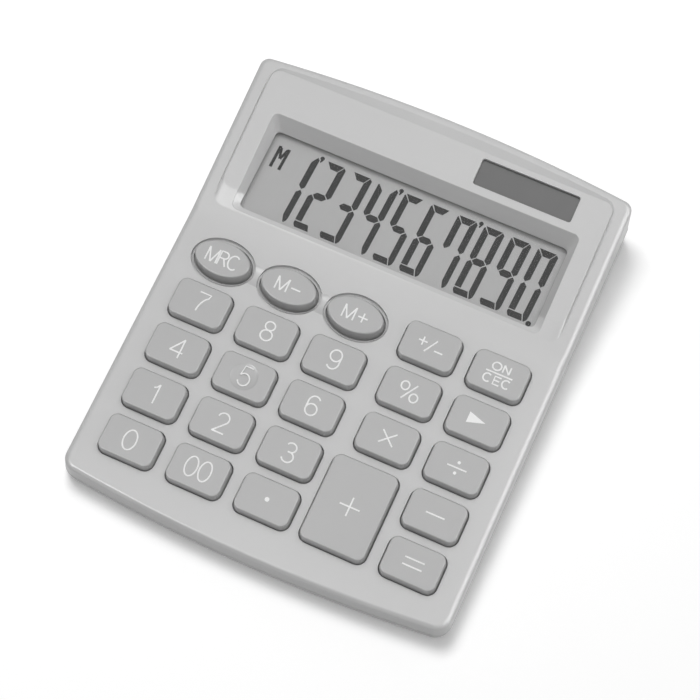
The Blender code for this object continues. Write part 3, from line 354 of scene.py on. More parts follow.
# Bosses for the case screws, a ledge round the door's opening and the wall of the battery well.
CASE_SCREWS = {
    "front_left": (-0.0463, 0.0149),
    "front_right": (0.0463, 0.0149),
    "back_left": (-0.0450, 0.0544),
    "back_right": (0.0450, 0.0544),
}
FEET = {
    "front_left": (-0.0414, -0.0507),
    "front_right": (0.0414, -0.0507),
    "back_left": (-0.0414, 0.0487),
    "back_right": (0.0414, 0.0487),
}
HEAD = 0.0019
SHANK = 0.0010
PLAY = 0.0003
SCREW_SEAT = 0.0024
FOOT_RADIUS = 0.0040
DOOR_SIZE = (0.0170, 0.0260)
DOOR_CORNER = 0.0020
DOOR_PLACE = (-0.0215, 0.0243)
DOOR_SCREW = (-0.0215, 0.0196)
CELL_PLACE = (-0.0215, 0.0304)
CELL_RADIUS = 0.0058
ROOT = 0.0020  # what stands on the floor starts inside it, so that they become one
BOSS_WALL = 0.0012
BOSS_TOP = 0.0036
LEDGE = 0.0015
LEDGE_TOP = 0.0031
LEDGE_ROOT = 0.0028
CELL_WALL = 0.0013
CELL_WALL_TOP = 0.0052
DOOR_BOSS_RADIUS = 0.0023
DOOR_BOSS_TOP = 0.0055
DOOR_HOLE_TOP = 0.0052
SOCKET_TOP = 0.0014
CLEAR = 0.0001  # a cutter passes the face that it opens by this or more


def door_block(name, margin, low, high):
    plan = (DOOR_SIZE[0] + 2 * margin, DOOR_SIZE[1] + 2 * margin)
    return close(block(name, plan, low, high, DOOR_CORNER + margin, 6, DOOR_PLACE))


boss_radius = HEAD + PLAY + BOSS_WALL
bosses = [post("boss", boss_radius, ROOT, BOSS_TOP, spot) for spot in CASE_SCREWS.values()]
ledge = door_block("door_ledge", LEDGE, ROOT, LEDGE_TOP)
cell_wall = post("cell_wall", CELL_RADIUS + CELL_WALL, LEDGE_ROOT, CELL_WALL_TOP, CELL_PLACE)
door_boss = post("door_boss", DOOR_BOSS_RADIUS, LEDGE_ROOT, DOOR_BOSS_TOP, DOOR_SCREW)
cut_out(tray, [joined([*bosses, ledge]), cell_wall, door_boss], "UNION")
head_holes = [post("hole", HEAD + PLAY, 0, SCREW_SEAT, spot) for spot in CASE_SCREWS.values()]
shank_holes = [
    post("hole", SHANK + PLAY, ROOT, DOOR_HOLE_TOP, spot) for spot in CASE_SCREWS.values()
]
sockets = [post("socket", FOOT_RADIUS + PLAY, 0, SOCKET_TOP, spot) for spot in FEET.values()]
cut_out(
    tray,
    [
        joined(sockets),
        joined(head_holes),
        joined(shank_holes),
        door_block("door_opening", PLAY, 0, FLOOR_TOP + CLEAR),
        post("cell_well", CELL_RADIUS + PLAY, ROOT, CELL_WALL_TOP + CELL_WALL, CELL_PLACE),
        post("door_screw_hole", SHANK + PLAY, ROOT, DOOR_HOLE_TOP, DOOR_SCREW),
    ],
)
finish(tray, case_abs)
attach(tray, "case")
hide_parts("bottom_housing")


# ---- Top housing ----
# One moulding of light grey ABS with a fine satin surface: keypad face, raised display panel,
# display recess, wells of the oval keys and all the holes. The screws pull it down from below.

WALL_FLARE = 0.0003
EDGE_ROUND = 0.0012
SIDE_ROUND = 0.0006  # the sides are rounded wider than the front by this
TOP_WALL = 0.0016
BEND_FROM_FRONT = 0.0781
BEND_Y = BEND_FROM_FRONT - LENGTH / 2
BEND_BLEND = 0.0025
PANEL_SLOPE = 0.0089 / (LENGTH - BEND_FROM_FRONT)
PANEL_TILT = math.atan(PANEL_SLOPE)
PANEL_RAISE = 0.00075
PANEL_HALF = 0.0485
PANEL_FOOT = 0.0035
PANEL_FOOT_RUN = 0.0060
BLANK = 0.001  # height of the moulding's first blank
RIM_BREAK = 0.0001


def face_height(y):
    """Height of the case's face: two slopes that meet in a soft bend."""
    past = y - BEND_Y
    turn = PANEL_SLOPE - math.tan(KEYPAD_TILT)
    if past <= -BEND_BLEND:
        return keypad_height(y)
    if past >= BEND_BLEND:
        return keypad_height(y) + turn * past
    return keypad_height(y) + turn * (past + BEND_BLEND) ** 2 / (4 * BEND_BLEND)


def split_at(y):
    """Divide the piece that is being edited, right across at y."""
    bpy.ops.mesh.select_all(action="SELECT")
    bpy.ops.mesh.bisect(plane_co=(0, y, 0), plane_no=(0, 1, 0))


def back_bow(x):
    return BACK_BOW * (2 * x / WIDTH) ** 2


PARTING = -0.01  # stands for the parting line until the outline is lifted to its height
top = case_slab("top_moulding", 0.0, PARTING, PARTING + BLANK)
choose_top()
step_in(WALL_FLARE, -PARTING - BLANK - EDGE_ROUND)
round_over(EDGE_ROUND, 7)
choose_bottom()
step_in(RIM_BREAK, RIM_BREAK)
step_in(WALL)
step_in(0.0, PARTING + TOP_WALL)
for share in range(-4, 5):
    split_at(BEND_Y + BEND_BLEND * share / 4)
for vert in bmesh.from_edit_mesh(top.data).verts:
    if vert.co.z > -EDGE_ROUND:
        rise = min(1 + vert.co.z / EDGE_ROUND, 1)
        vert.co.x *= 1 - 2 * SIDE_ROUND / WIDTH * (1 - math.sqrt(1 - rise * rise))
    above = vert.co.z - PARTING
    if above > BLANK + RIM_BREAK:
        vert.co.z += face_height(vert.co.y)
    else:  # the first blank is pressed flat, into the narrow band above the parting line
        vert.co.z = keypad_height(vert.co.y) - PARTING_DROP + (above / 5 if above > 0 else above)
close(top)

# The display panel stands proud of the shoulders beside it, with a fine groove along the foot of
# its steep edge. At its foot, above the keys, the same step is drawn out to a long slope.
PANEL_BACK = 0.0611
PANEL_CREASE = 0.0577
PANEL_FRONT = BEND_Y + PANEL_FOOT
PANEL_MIDDLE = BEND_Y + 0.02
PANEL_CORNER = 0.0030
PANEL_SINK = 0.00003  # the panel is let in by this, so that it becomes one with the face
PANEL_ROOT = 0.0004
GROOVE = 0.00036
GROOVE_DEPTH = 0.00030
GROOVE_LEAN = 0.00008
GROOVE_FADE = 0.0070


def panel_block(name, margin, low, high):
    """Blank with the panel's plan. Its front and back are divided, to follow the case's curve."""
    plan = (2 * (PANEL_HALF + margin), PANEL_BACK - PANEL_FRONT + 2 * margin)
    spot = (0, (PANEL_FRONT + PANEL_BACK) / 2)
    piece = block(name, plan, low, high, PANEL_CORNER + margin, 8, spot)
    choose("EDGE", lambda middle, way: abs(way.x) > 0.99 and abs(middle.x) < 0.01)
    bpy.ops.mesh.subdivide(number_cuts=CURVE_CUTS)
    return piece


groove = panel_block("panel_groove", GROOVE, -PANEL_SINK, BLANK)
choose_bottom()
step_in(GROOVE_LEAN, GROOVE_DEPTH - PANEL_SINK)
fade_front = PANEL_FRONT + GROOVE_FADE
fade_back = PANEL_BACK - GROOVE_FADE
split_at(fade_front)
split_at(fade_back)
for vert in bmesh.from_edit_mesh(groove.data).verts:
    past = max(fade_front - vert.co.y, vert.co.y - fade_back)
    if vert.co.z < 0 and past > CLEAR:
        vert.co.z += (GROOVE_DEPTH + CLEAR) * past / GROOVE_FADE
    if vert.co.y > PANEL_MIDDLE:
        vert.co.y -= back_bow(vert.co.x)
    vert.co.z += face_height(vert.co.y)
close(groove)

# The step's hollow curve, from its foot up: each ring's width and rise.
cove = (
    (0.00004, 0.00012),
    (0.00005, 0.00022),
    (0.00006, 0.00022),
    (0.00008, 0.00012),
    (0.00010, 0.00007),
)
panel = panel_block("panel_step", 0.0, -PANEL_ROOT, 0.0)
choose_top()
runs = [(0.0, 0.0)]
for width, rise in cove:
    step_in(width, rise)
    runs.append((runs[-1][0] + rise / PANEL_RAISE, runs[-1][1] + width))
for vert in bmesh.from_edit_mesh(panel.data).verts:
    share = min(max(vert.co.z / PANEL_RAISE, 0), 1)
    inner = next((run for reach, run in runs if reach >= share - 1e-4), runs[-1][1])
    if vert.co.y < PANEL_MIDDLE:
        vert.co.y += share * PANEL_FOOT_RUN - inner
    else:
        bow = back_bow(vert.co.x)
        vert.co.y += share * (PANEL_CREASE - PANEL_BACK + inner) - (1 - share) * bow
    vert.co.z += face_height(vert.co.y) - PANEL_SINK
close(panel)
cut_out(top, [groove])
cut_out(top, [panel], "UNION")


def turn_under(radius, steps):
    """From the selected face's border, round the rim of a hole: first inwards, then down."""
    for step in range(steps):
        low = math.pi / 2 * step / steps
        high = math.pi / 2 * (step + 1) / steps
        step_in(
            radius * (math.sin(high) - math.sin(low)),
            radius * (math.cos(low) - math.cos(high)),
        )


def place(piece, matrix):
    """Put a piece that was modelled at the origin in its place, in its mesh."""
    piece.data.transform(matrix)
    return piece


def copy_of(piece, name):
    """A copy with its own mesh."""
    twin = piece.copy()
    twin.data = piece.data.copy()
    twin.name = name
    twin.data.name = name
    bpy.context.scene.collection.objects.link(twin)
    return twin


def tilted(y, height, tilt):
    """The frame of a face that starts at y and height and rises towards the back."""
    return Matrix.Translation((0, y, height)) @ Matrix.Rotation(tilt, 4, "X")


KEYPAD = tilted(-LENGTH / 2, FRONT_HEIGHT, KEYPAD_TILT)
PANEL = tilted(BEND_Y, keypad_height(BEND_Y), PANEL_TILT)
SKIM = 0.00001  # a cutter's first ring stands this far above the face
CUTTER_TOP = 0.002 + SKIM
WAY_DOWN = 0.004  # from the face, through the wall below it

# Display recess: its walls slope in to a straight lip, and the window is held below that.
RIM_HALF = 0.0432
RIM_FRONT = BEND_Y + 0.0047
RIM_BACK = RIM_FRONT + 0.0272
SIGHT_HALF = 0.0415
SIGHT_FRONT = BEND_FROM_FRONT + 0.0059
SIGHT_BACK = BEND_FROM_FRONT + 0.0297
SIGHT_MIDDLE = (SIGHT_FRONT + SIGHT_BACK) / 2
RECESS_CORNER = 0.0016
LIP_LEVEL = 0.0005
LIP_FOOT = LIP_LEVEL - 0.003
SOFT = 0.00022
RING = 0.001  # the cutter's rings are so far apart before each is put in its place


def panel_height(y):
    share = min(max((y - PANEL_FRONT) / PANEL_FOOT_RUN, 0), 1)
    return face_height(y) + (PANEL_RAISE - PANEL_SINK) * share


recess = block(
    "recess_cutter",
    (2 * (RIM_HALF + SOFT), RIM_BACK - RIM_FRONT + 2 * SOFT),
    SKIM,
    CUTTER_TOP,
    RECESS_CORNER + SOFT,
    7,
    (0, (RIM_FRONT + RIM_BACK) / 2),
)
for share in range(-3, 8):
    split_at(PANEL_FRONT + PANEL_FOOT_RUN * share / 7)
choose_bottom()
turn_under(SOFT, 3)
step_in(0.0, RING)
step_in(0.0, RING)
for vert in bmesh.from_edit_mesh(recess.data).verts:
    if vert.co.z > -RING / 2:
        vert.co.z += panel_height(vert.co.y)
        continue
    level = LIP_LEVEL if vert.co.z > -RING * 1.5 else LIP_FOOT
    share = (vert.co.y - RIM_FRONT) / (RIM_BACK - RIM_FRONT)
    along = SIGHT_FRONT + share * (SIGHT_BACK - SIGHT_FRONT)
    vert.co = KEYPAD @ Vector((vert.co.x * SIGHT_HALF / RIM_HALF, along, level))
close(recess)

# Walls below the recess hold the window and the glass. They are joined before the recess is cut.
GLASS_LEVEL = -0.0034
POCKET_WALL = 0.0023
POCKET_FLAT = 0.0010
POCKET_TOP = 0.0020
pocket = block(
    "display_pocket",
    (2 * (SIGHT_HALF + POCKET_WALL), SIGHT_BACK - SIGHT_FRONT + 2 * POCKET_WALL),
    GLASS_LEVEL,
    GLASS_LEVEL + POCKET_TOP,
    RECESS_CORNER,
    4,
    (0, SIGHT_MIDDLE),
)
choose_bottom()
step_in(POCKET_FLAT)
step_in(0.0, GLASS_LEVEL + CLEAR)
for vert in bmesh.from_edit_mesh(pocket.data).verts:
    wall_top = -POCKET_TOP < vert.co.z < -POCKET_TOP / 2
    vert.co = KEYPAD @ vert.co
    if wall_top:
        vert.co.z = face_height(vert.co.y) - TOP_WALL / 2
close(pocket)
cut_out(top, [pocket], "UNION")

# Solar window: an opening with a thin edge, hollowed out from below.
SOLAR_X = 0.02575
SOLAR_ALONG = 0.0379 / math.cos(PANEL_TILT)
SOLAR_SIZE = (0.0273, 0.0074)
SOLAR_CORNER = 0.0008
SOLAR_ROUND = 0.0001
SOLAR_EDGE = 0.00020
SOLAR_PLAY = 0.0008
solar_plan = [side + 2 * SOLAR_ROUND for side in SOLAR_SIZE]
solar_hole = block("solar_cutter", solar_plan, SKIM, CUTTER_TOP, SOLAR_CORNER, 5)
choose_bottom()
turn_under(SOLAR_ROUND, 2)
step_in(0.0, SOLAR_EDGE)
step_in(-SOLAR_PLAY)
step_in(0.0, WAY_DOWN)
close(solar_hole)
solar_height = (PANEL_RAISE - PANEL_SINK) * math.cos(PANEL_TILT)
solar_place = PANEL @ Matrix.Translation((SOLAR_X, SOLAR_ALONG, solar_height))
place(solar_hole, solar_place)

# Key holes, each with a softly rounded rim.
HOLE = (0.0156, 0.0112)
HOLE_CORNER = 0.0026
COLUMN_PITCH = 0.01875
ROW_PITCH = 0.0133
OPERATOR_GAP = 0.0020
GRID_WIDTH = 4 * COLUMN_PITCH + HOLE[0] + OPERATOR_GAP
KEYPAD_FRONT_MARGIN = 0.0096
RIM = 0.00010


def column_x(column):
    return (HOLE[0] - GRID_WIDTH) / 2 + COLUMN_PITCH * column + (OPERATOR_GAP if column > 2 else 0)


def row_y(row):
    return KEYPAD_FRONT_MARGIN + HOLE[1] / 2 + ROW_PITCH * row


rows = (
    ("0", "00", "point", None, "equals"),
    ("1", "2", "3", None, "minus"),
    ("4", "5", "6", "multiply", "divide"),
    ("7", "8", "9", "percent", "backspace"),
    ("recall", "memory_minus", "memory_plus", "sign", "on_clear"),
)
key_places = {
    name: (column_x(column), row_y(row))
    for row, names in enumerate(rows)
    for column, name in enumerate(names)
    if name
}
PLUS_WIDER = 0.0027
PLUS_HOLE = (HOLE[0] + PLUS_WIDER, HOLE[1] + ROW_PITCH)
key_places["plus"] = (column_x(3) - PLUS_WIDER / 2, (row_y(0) + row_y(1)) / 2)
oval_keys = ("recall", "memory_minus", "memory_plus")
OVAL_HOLE = (0.0160, 0.0102)


def key_hole(name, size):
    plan = (size[0] + 2 * RIM, size[1] + 2 * RIM)
    cutter = block(name, plan, SKIM, CUTTER_TOP, HOLE_CORNER + RIM, 8)
    choose_bottom()
    turn_under(RIM, 3)
    step_in(0.0, WAY_DOWN)
    return close(cutter)


square_hole = key_hole("square_hole", HOLE)
plus_hole = key_hole("plus_hole", PLUS_HOLE)

# An oval key stands in a well: a deep groove runs round a low collar, and the hole is inside it.
WELL_MARGIN = (0.00085, 0.00140)
WELL_LEAN = 0.00003
WELL_DEPTH = 0.00110
WELL_FLOOR = 0.00040
WELL_SQUEEZE = 0.963  # evens out the floor, which is wider at the ends of the oval
COLLAR_RISE = 0.00055
COLLAR = 0.00015
COLLAR_DEPTH = 0.00020
well_radii = [side / 2 + margin for side, margin in zip(OVAL_HOLE, WELL_MARGIN)]
well = disc("oval_well", well_radii, SKIM, CUTTER_TOP, 72)
choose_bottom()
turn_under(RIM, 2)
step_in(WELL_LEAN, WELL_DEPTH)
step_in(WELL_FLOOR)
bpy.ops.transform.resize(value=(1, WELL_SQUEEZE, 1), center_override=(0, 0, 0))
step_in(WELL_LEAN, -COLLAR_RISE)
step_in(COLLAR)
step_in(WELL_LEAN, COLLAR_DEPTH)
step_in(0.0, WAY_DOWN)
close(well)

holes = []
for name, (x, y) in key_places.items():
    source = well if name in oval_keys else plus_hole if name == "plus" else square_hole
    spot = KEYPAD @ Matrix.Translation((x, y, 0))
    holes.append(place(copy_of(source, "hole_" + name), spot))

# Shallow saddles join one well to the next.
SADDLE_HALF = 0.00275
SADDLE_DEPTH = 0.0007
SADDLE_LENGTH = 0.0045
SADDLE_ROUND = (SADDLE_HALF**2 + SADDLE_DEPTH**2) / (2 * SADDLE_DEPTH)
saddles = []
for column in (0, 1):
    saddle = begin(
        "saddle",
        bpy.ops.mesh.primitive_cylinder_add,
        vertices=180,
        radius=SADDLE_ROUND,
        depth=SADDLE_LENGTH,
        rotation=(0, math.pi / 2, 0),
    )
    close(saddle)
    middle = (column_x(column) + column_x(column + 1)) / 2
    spot = Matrix.Translation((middle, row_y(4), SADDLE_ROUND - SADDLE_DEPTH))
    saddles.append(place(saddle, KEYPAD @ spot))
discard(square_hole, plus_hole, well)
cut_out(top, [recess, solar_hole, joined(saddles), joined(holes)])

finish(top, case_abs)
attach(top, "case")
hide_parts("top_housing")


# ---- Keys ----
# Each key is a hollow moulding in a darker grey ABS. A flange below the face keeps it in, and
# the rubber dome under its stem lifts it. The white legends are pad printed on the flat tops.

KEY_RISE = 0.0026
KEY_GAP = 0.00015
KEY_DRAFT = 0.0003
KEY_ROUND = 0.00045
KEY_WALL = 0.0012
KEY_HOLLOW = 0.0037
FLANGE = 0.0006
FLANGE_LEVEL = -0.0025

key_abs = grained("satin_abs_mid_grey", "#B2B2B2", "#B6B6B6", 0.00025, 0.36, 0.08)


def key_from(blank):
    """Raise a key from its flange: drafted sides, soft top edge and the hollow below."""
    choose_top()
    step_in(FLANGE + KEY_GAP)
    step_in(KEY_DRAFT, KEY_RISE - KEY_ROUND - FLANGE_LEVEL - FLANGE)
    round_over(KEY_ROUND, 5)
    choose_bottom()
    step_in(FLANGE + KEY_GAP + KEY_WALL)
    step_in(0.0, -KEY_HOLLOW)
    return close(blank)


def square_key(name, size):
    plan = [side + 2 * FLANGE for side in size]
    corner = HOLE_CORNER + FLANGE
    return key_from(block(name, plan, FLANGE_LEVEL, FLANGE_LEVEL + FLANGE, corner, 10))


square = square_key("square_key", HOLE)
plus = square_key("plus_key", PLUS_HOLE)
oval_radii = [side / 2 + FLANGE for side in OVAL_HOLE]
oval = key_from(disc("oval_key", oval_radii, FLANGE_LEVEL, FLANGE_LEVEL + FLANGE, 72))

# The middle digit key has a shallow round dish, so that a finger finds it.
DISH_RADIUS = 0.0037
dish_low = KEY_RISE + SKIM
dish = disc("dish_cutter", (DISH_RADIUS, DISH_RADIUS), dish_low, dish_low + BLANK, 48)
choose_bottom()
dish_rings = (
    (0.00015, 0.00007),
    (0.00020, 0.00006),
    (0.00060, 0.00007),
    (0.00080, 0.00006),
    (0.00090, 0.00003),
)
for width, drop in dish_rings:
    step_in(width, drop)
close(dish)
middle_key = copy_of(square, "dished_key")
cut_out(middle_key, [dish])

for name, (x, y) in key_places.items():
    if name == "plus":
        source = plus
    elif name in oval_keys:
        source = oval
    else:
        source = middle_key if name == "5" else square
    key = copy_of(source, "cap_" + name)
    place(key, KEYPAD @ Matrix.Translation((x, y, 0)))
    finish(key, key_abs)
    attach(key, "key_" + name)
    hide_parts("key_" + name)
discard(square, plus, oval, middle_key)


# The legends are pad printed in white ink, raised by a hundredth of a millimetre.
INK_FILM = 0.000012
PEN = 0.43  # the legends' strokes are in millimetres

white_ink = toned("white_pad_printing_ink", "#F0F0F0", "#FAFAFA", 900.0, 0.45)


def arc(x, y, half_width, half_height, start, end):
    """Points along an elliptical stroke, in millimetres and degrees."""
    steps = max(round(abs(end - start) / 10), 2)
    turns = [math.radians(start + (end - start) * step / steps) for step in range(steps + 1)]
    return [(x + half_width * math.cos(turn), y + half_height * math.sin(turn)) for turn in turns]


def drawn(name, strokes):
    """Pen strokes, given in millimetres, as a flat film of ink."""
    curve = bpy.data.curves.new(name, "CURVE")
    curve.dimensions = "3D"
    curve.bevel_depth = PEN / 2
    curve.bevel_resolution = 2
    curve.use_fill_caps = True
    for points in strokes:
        spline = curve.splines.new("POLY")
        spline.points.add(len(points) - 1)
        for point, (x, y) in zip(spline.points, points):
            point.co = (x, y, 0, 1)
    writing = bpy.data.objects.new(name, curve)
    bpy.context.scene.collection.objects.link(writing)
    pick(writing)
    bpy.ops.object.convert(target="MESH")
    return place(writing, Matrix.Diagonal((0.001, 0.001, INK_FILM / (PEN / 2), 1)))


def flat_shape(name, corners, thickness):
    """Flat solid shape with the given corners, in millimetres."""
    shape = begin(
        name,
        bpy.ops.mesh.primitive_circle_add,
        vertices=len(corners),
        radius=0.001,
        fill_type="NGON",
    )
    mesh = bmesh.from_edit_mesh(shape.data)
    mesh.verts.ensure_lookup_table()
    for vert, (x, y) in zip(mesh.verts, corners):
        vert.co = (x / 1000, y / 1000, 0)
    bmesh.update_edit_mesh(shape.data)
    bpy.ops.mesh.select_all(action="SELECT")
    bpy.ops.mesh.extrude_region_move(TRANSFORM_OT_translate={"value": (0, 0, thickness)})
    return close(shape)


def moved(strokes, x, y):
    return [[(point[0] + x, point[1] + y) for point in stroke] for stroke in strokes]


def letter_m(width, height):
    w, h = width / 2, height / 2
    corners = [(-w, -h), (-w, h), (0, -h), (w, h), (w, -h)]
    return [[corners[step], corners[step + 1]] for step in range(4)]


def letter_c(width, height):
    return [arc(0.1, 0, width / 2, height / 2, 48, 312)]


def crossed(width, height):
    return [[(-width / 2, 0), (width / 2, 0)], [(0, -height / 2), (0, height / 2)]]


letter_r = [
    [(-1.1, -1.95), (-1.1, 1.95), (0.05, 1.95), *arc(0.05, 1.0, 1.0, 0.95, 90, -90), (-1.1, 0.05)],
    [(0.1, 0.05), (1.15, -1.95)],
]
six = [
    arc(0, -1.05, 1.5, 1.55, 0, 360),
    [*arc(0.05, 0.9, 1.55, 1.75, 35, 180), (-1.5, -1.05)],
]
legends = {
    "0": [arc(0, 0, 1.7, 2.65, 0, 360)],
    "00": [arc(-1.87, 0, 1.55, 2.65, 0, 360), arc(1.87, 0, 1.55, 2.65, 0, 360)],
    "1": [[(-1.1, 1.4), (-0.4, 1.7), (0.15, 2.55)], [(0.2, 2.65), (0.2, -2.65)]],
    "2": [[*arc(0, 1.15, 1.5, 1.5, 170, -35), (-1.55, -2.6)], [(-1.7, -2.6), (1.6, -2.6)]],
    "3": [
        [*arc(0, 1.35, 1.35, 1.25, 155, -90), *arc(0, -1.2, 1.5, 1.4, 90, -160)],
        [(-0.5, 0.15), (0.1, 0.15)],
    ],
    "4": [[(0.8, -2.65), (0.8, 2.6)], [(0.85, 2.6), (-1.95, -1.1)], [(-2.05, -1.1), (1.6, -1.1)]],
    "5": [[(1.3, 2.6), (-0.9, 2.6), (-1.25, 0.1), *arc(0, -0.95, 1.5, 1.65, 140, -160)]],
    "6": six,
    "7": [[(-1.55, 2.6), (1.55, 2.6), *arc(2.6, -2.6, 3.2, 4.6, 115, 180)]],
    "8": [arc(0, 1.4, 1.3, 1.2, 0, 360), arc(0, -1.25, 1.55, 1.42, 0, 360)],
    "9": [[(-x, -y) for x, y in stroke] for stroke in six],
    "multiply": [[(-1.9, -1.75), (1.9, 1.75)], [(-1.9, 1.75), (1.9, -1.75)]],
    "divide": [[(-2.6, 0), (2.6, 0)]],
    "minus": [[(-2.5, 0), (2.5, 0)]],
    "equals": [[(-2.6, 0.95), (2.6, 0.95)], [(-2.6, -0.95), (2.6, -0.95)]],
    "plus": crossed(5.4, 5.1),
    "percent": [
        arc(-1.6, 1.2, 1.05, 1.15, 0, 360),
        arc(1.6, -1.2, 1.05, 1.15, 0, 360),
        [(-1.45, -2.3), (1.45, 2.3)],
    ],
    "sign": [
        *moved(crossed(2.4, 2.4), -2.3, 0.6),
        [(-1.1, -1.9), (1.2, 1.9)],
        [(1.3, -0.9), (3.6, -0.9)],
    ],
    "recall": [
        *moved(letter_m(2.9, 3.9), -2.9, 0),
        *moved(letter_r, 0.1, 0),
        *moved(letter_c(2.9, 3.9), 2.9, 0),
    ],
    "memory_minus": [*moved(letter_m(3.0, 3.6), -1.85, 0), [(0.7, -0.1), (3.3, -0.1)]],
    "memory_plus": [*moved(letter_m(3.0, 3.6), -1.85, 0), *moved(crossed(2.6, 2.6), 2.0, -0.1)],
    "on_clear": [
        arc(-1.3, 1.9, 1.15, 1.05, 0, 360),
        [(0.5, 0.85), (0.5, 2.95)],
        [(0.5, 2.95), (2.2, 0.85)],
        [(2.2, 0.85), (2.2, 2.95)],
        [(-3.6, 0.1), (3.6, 0.1)],
        *moved(letter_c(2.1, 2.2), -2.6, -1.75),
        [(1.0, -0.7), (-0.7, -0.7), (-0.7, -2.85), (1.0, -2.85)],
        [(-0.7, -1.75), (0.8, -1.75)],
        *moved(letter_c(2.1, 2.2), 2.5, -1.75),
    ],
}
ink_dots = {
    "point": [arc(0, 0, 0.6, 0.6, 0, 340)],
    "divide": [arc(0, 1.45, 0.42, 0.42, 0, 330), arc(0, -1.45, 0.42, 0.42, 0, 330)],
    "backspace": [[(-2.35, 1.5), (-2.35, -1.5), (2.35, 0)]],
}
# The print sits a little off the middle of the keys: each legend's shift, in millimetres.
legend_shift = {
    "7": (0.37, 0.28), "8": (0.38, 0.21), "9": (0.2, 0.17), "4": (0.34, 0.13),
    "5": (0.22, 0.17), "6": (0.26, 0.04), "1": (0.45, 0.1), "2": (0.16, -0.01),
    "3": (0.09, -0.13), "0": (-0.1, -0.09), "00": (-0.02, 0.1), "point": (0.14, 0.04),
    "backspace": (-0.25, 0.05), "memory_minus": (0.09, -0.02), "recall": (0.17, 0.01),
}
for name, (x, y) in key_places.items():
    films = [flat_shape("dot", corners, INK_FILM) for corners in ink_dots.get(name, ())]
    if name in legends:
        films.append(drawn("strokes", legends[name]))
    legend = joined(films)
    legend.name = "legend_" + name
    shift_x, shift_y = legend_shift.get(name, (0.15, 0))
    spot = Matrix.Translation((x + shift_x / 1000, y + shift_y / 1000, KEY_RISE))
    legend.data.materials.clear()
    legend.data.materials.append(white_ink)
    place(legend, KEYPAD @ spot)
    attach(legend, "key_" + name)


# ---- Display ----
# A liquid crystal cell: two sheets of glass with the polariser on top, pale grey with dark
# segments, and a black border that the housing's lip overhangs. The rubber strip carries it.

GLASS_TOP = -0.0015
BORDER_OVERLAP = 0.0009
BORDER = 0.0006
GLASS_BREAK = 0.0001

cell_ground = toned("lcd_polariser_film", "#B4B4B4", "#B9B9B9", 40.0, 0.35, specular=0.2)
# Black print for the borders. On the solar cell, a wider strip of it at the back is painted shade.
black_print_and_shade = toned("black_screen_print_and_shade", "#161616", "#1E1E1E", 3000.0, 0.5)


def leave_border(plate):
    """Keep the first material on the widest face that looks up. The rest gets the second."""
    tops = [face for face in plate.data.polygons if face.normal.z > 0.9]
    widest = max(tops, key=lambda face: face.area).index
    for face in plate.data.polygons:
        face.material_index = 0 if face.index == widest else 1


glass = block(
    "liquid_crystal_cell",
    (2 * (SIGHT_HALF + BORDER_OVERLAP), SIGHT_BACK - SIGHT_FRONT + 2 * BORDER_OVERLAP),
    GLASS_LEVEL,
    GLASS_TOP,
    spot=(0, SIGHT_MIDDLE),
)
bevel_edges(lambda middle, way: True, GLASS_BREAK, 1)
choose_top()
step_in(BORDER_OVERLAP - BORDER)
close(glass)
place(glass, KEYPAD)
finish(glass, cell_ground, black_print_and_shade)
leave_border(glass)
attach(glass, "case")
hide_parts("lcd_glass")

# One blank segment is shaped and then copied to the seven places of every digit.
DIGIT_WIDTH = 0.00576
DIGIT_HEIGHT = 0.0205
DIGIT_PITCH = 0.007535
DIGIT_LEFT = 0.03324
DIGIT_FOOT = 0.08542
DIGIT_SLANT = 0.0387
POST = 0.00177
BAR = 0.0019
SPLIT = 0.00012
FILM = 0.00001
LEFT_CUT = 0.00025
RIGHT_CUT = 0.00063
FOOT_CUT = 0.0007
CORNER_CUT = 0.00015


def segment(name, corners):
    """Darkened part of the display, its corners given in metres."""
    return flat_shape(name, [(x * 1000, y * 1000) for x, y in corners], FILM)


w, h, p, t, g = DIGIT_WIDTH, DIGIT_HEIGHT, POST, BAR, SPLIT
middle_low, middle_high = (h - t) / 2, (h + t) / 2
bar_corners = {
    "top": ((LEFT_CUT + g, h), (p + g, h - t), (w - p - g, h - t), (w - RIGHT_CUT - g, h)),
    "middle": (
        (p / 2 + g, h / 2),
        (p + g, middle_low),
        (w - p - g, middle_low),
        (w - p / 2 - g, h / 2),
        (w - p - g, middle_high),
        (p + g, middle_high),
    ),
    "bottom": (
        (CORNER_CUT, t - g),
        (0, 0.7 * t),
        (CORNER_CUT, 0.4 * t),
        (FOOT_CUT, 0),
        (w - p + FOOT_CUT - g, 0),
        (w - p - g, t - g),
    ),
    "upper_left": (
        (0, h - 2 * LEFT_CUT - g),
        (0, (h + p) / 2),
        (0.4 * p, h / 2 + g),
        (p, middle_high + g),
        (p, h - t - g),
        (LEFT_CUT, h - LEFT_CUT - g),
    ),
    "lower_left": (
        (0, t + g),
        (p, t + g),
        (p, middle_low - g),
        (0.4 * p, h / 2 - g),
        (0, (h - p) / 2),
    ),
    "upper_right": (
        (w, h - RIGHT_CUT - g),
        (w - RIGHT_CUT, h - g),
        (w - p, h - t - g),
        (w - p, middle_high + g),
        (w - 0.4 * p, h / 2 + g),
        (w, (h + p) / 2),
    ),
    "lower_right": (
        (w - p + FOOT_CUT + g, 0),
        (w - 4 * CORNER_CUT, 0.0001),
        (w - CORNER_CUT, FOOT_CUT),
        (w, 0.0017),
        (w, (h - p) / 2),
        (w - 0.4 * p, h / 2 - g),
        (w - p + g, middle_low - g),
        (w - p + g, t),
    ),
}
bars = {name: segment("bar_" + name, corners) for name, corners in bar_corners.items()}
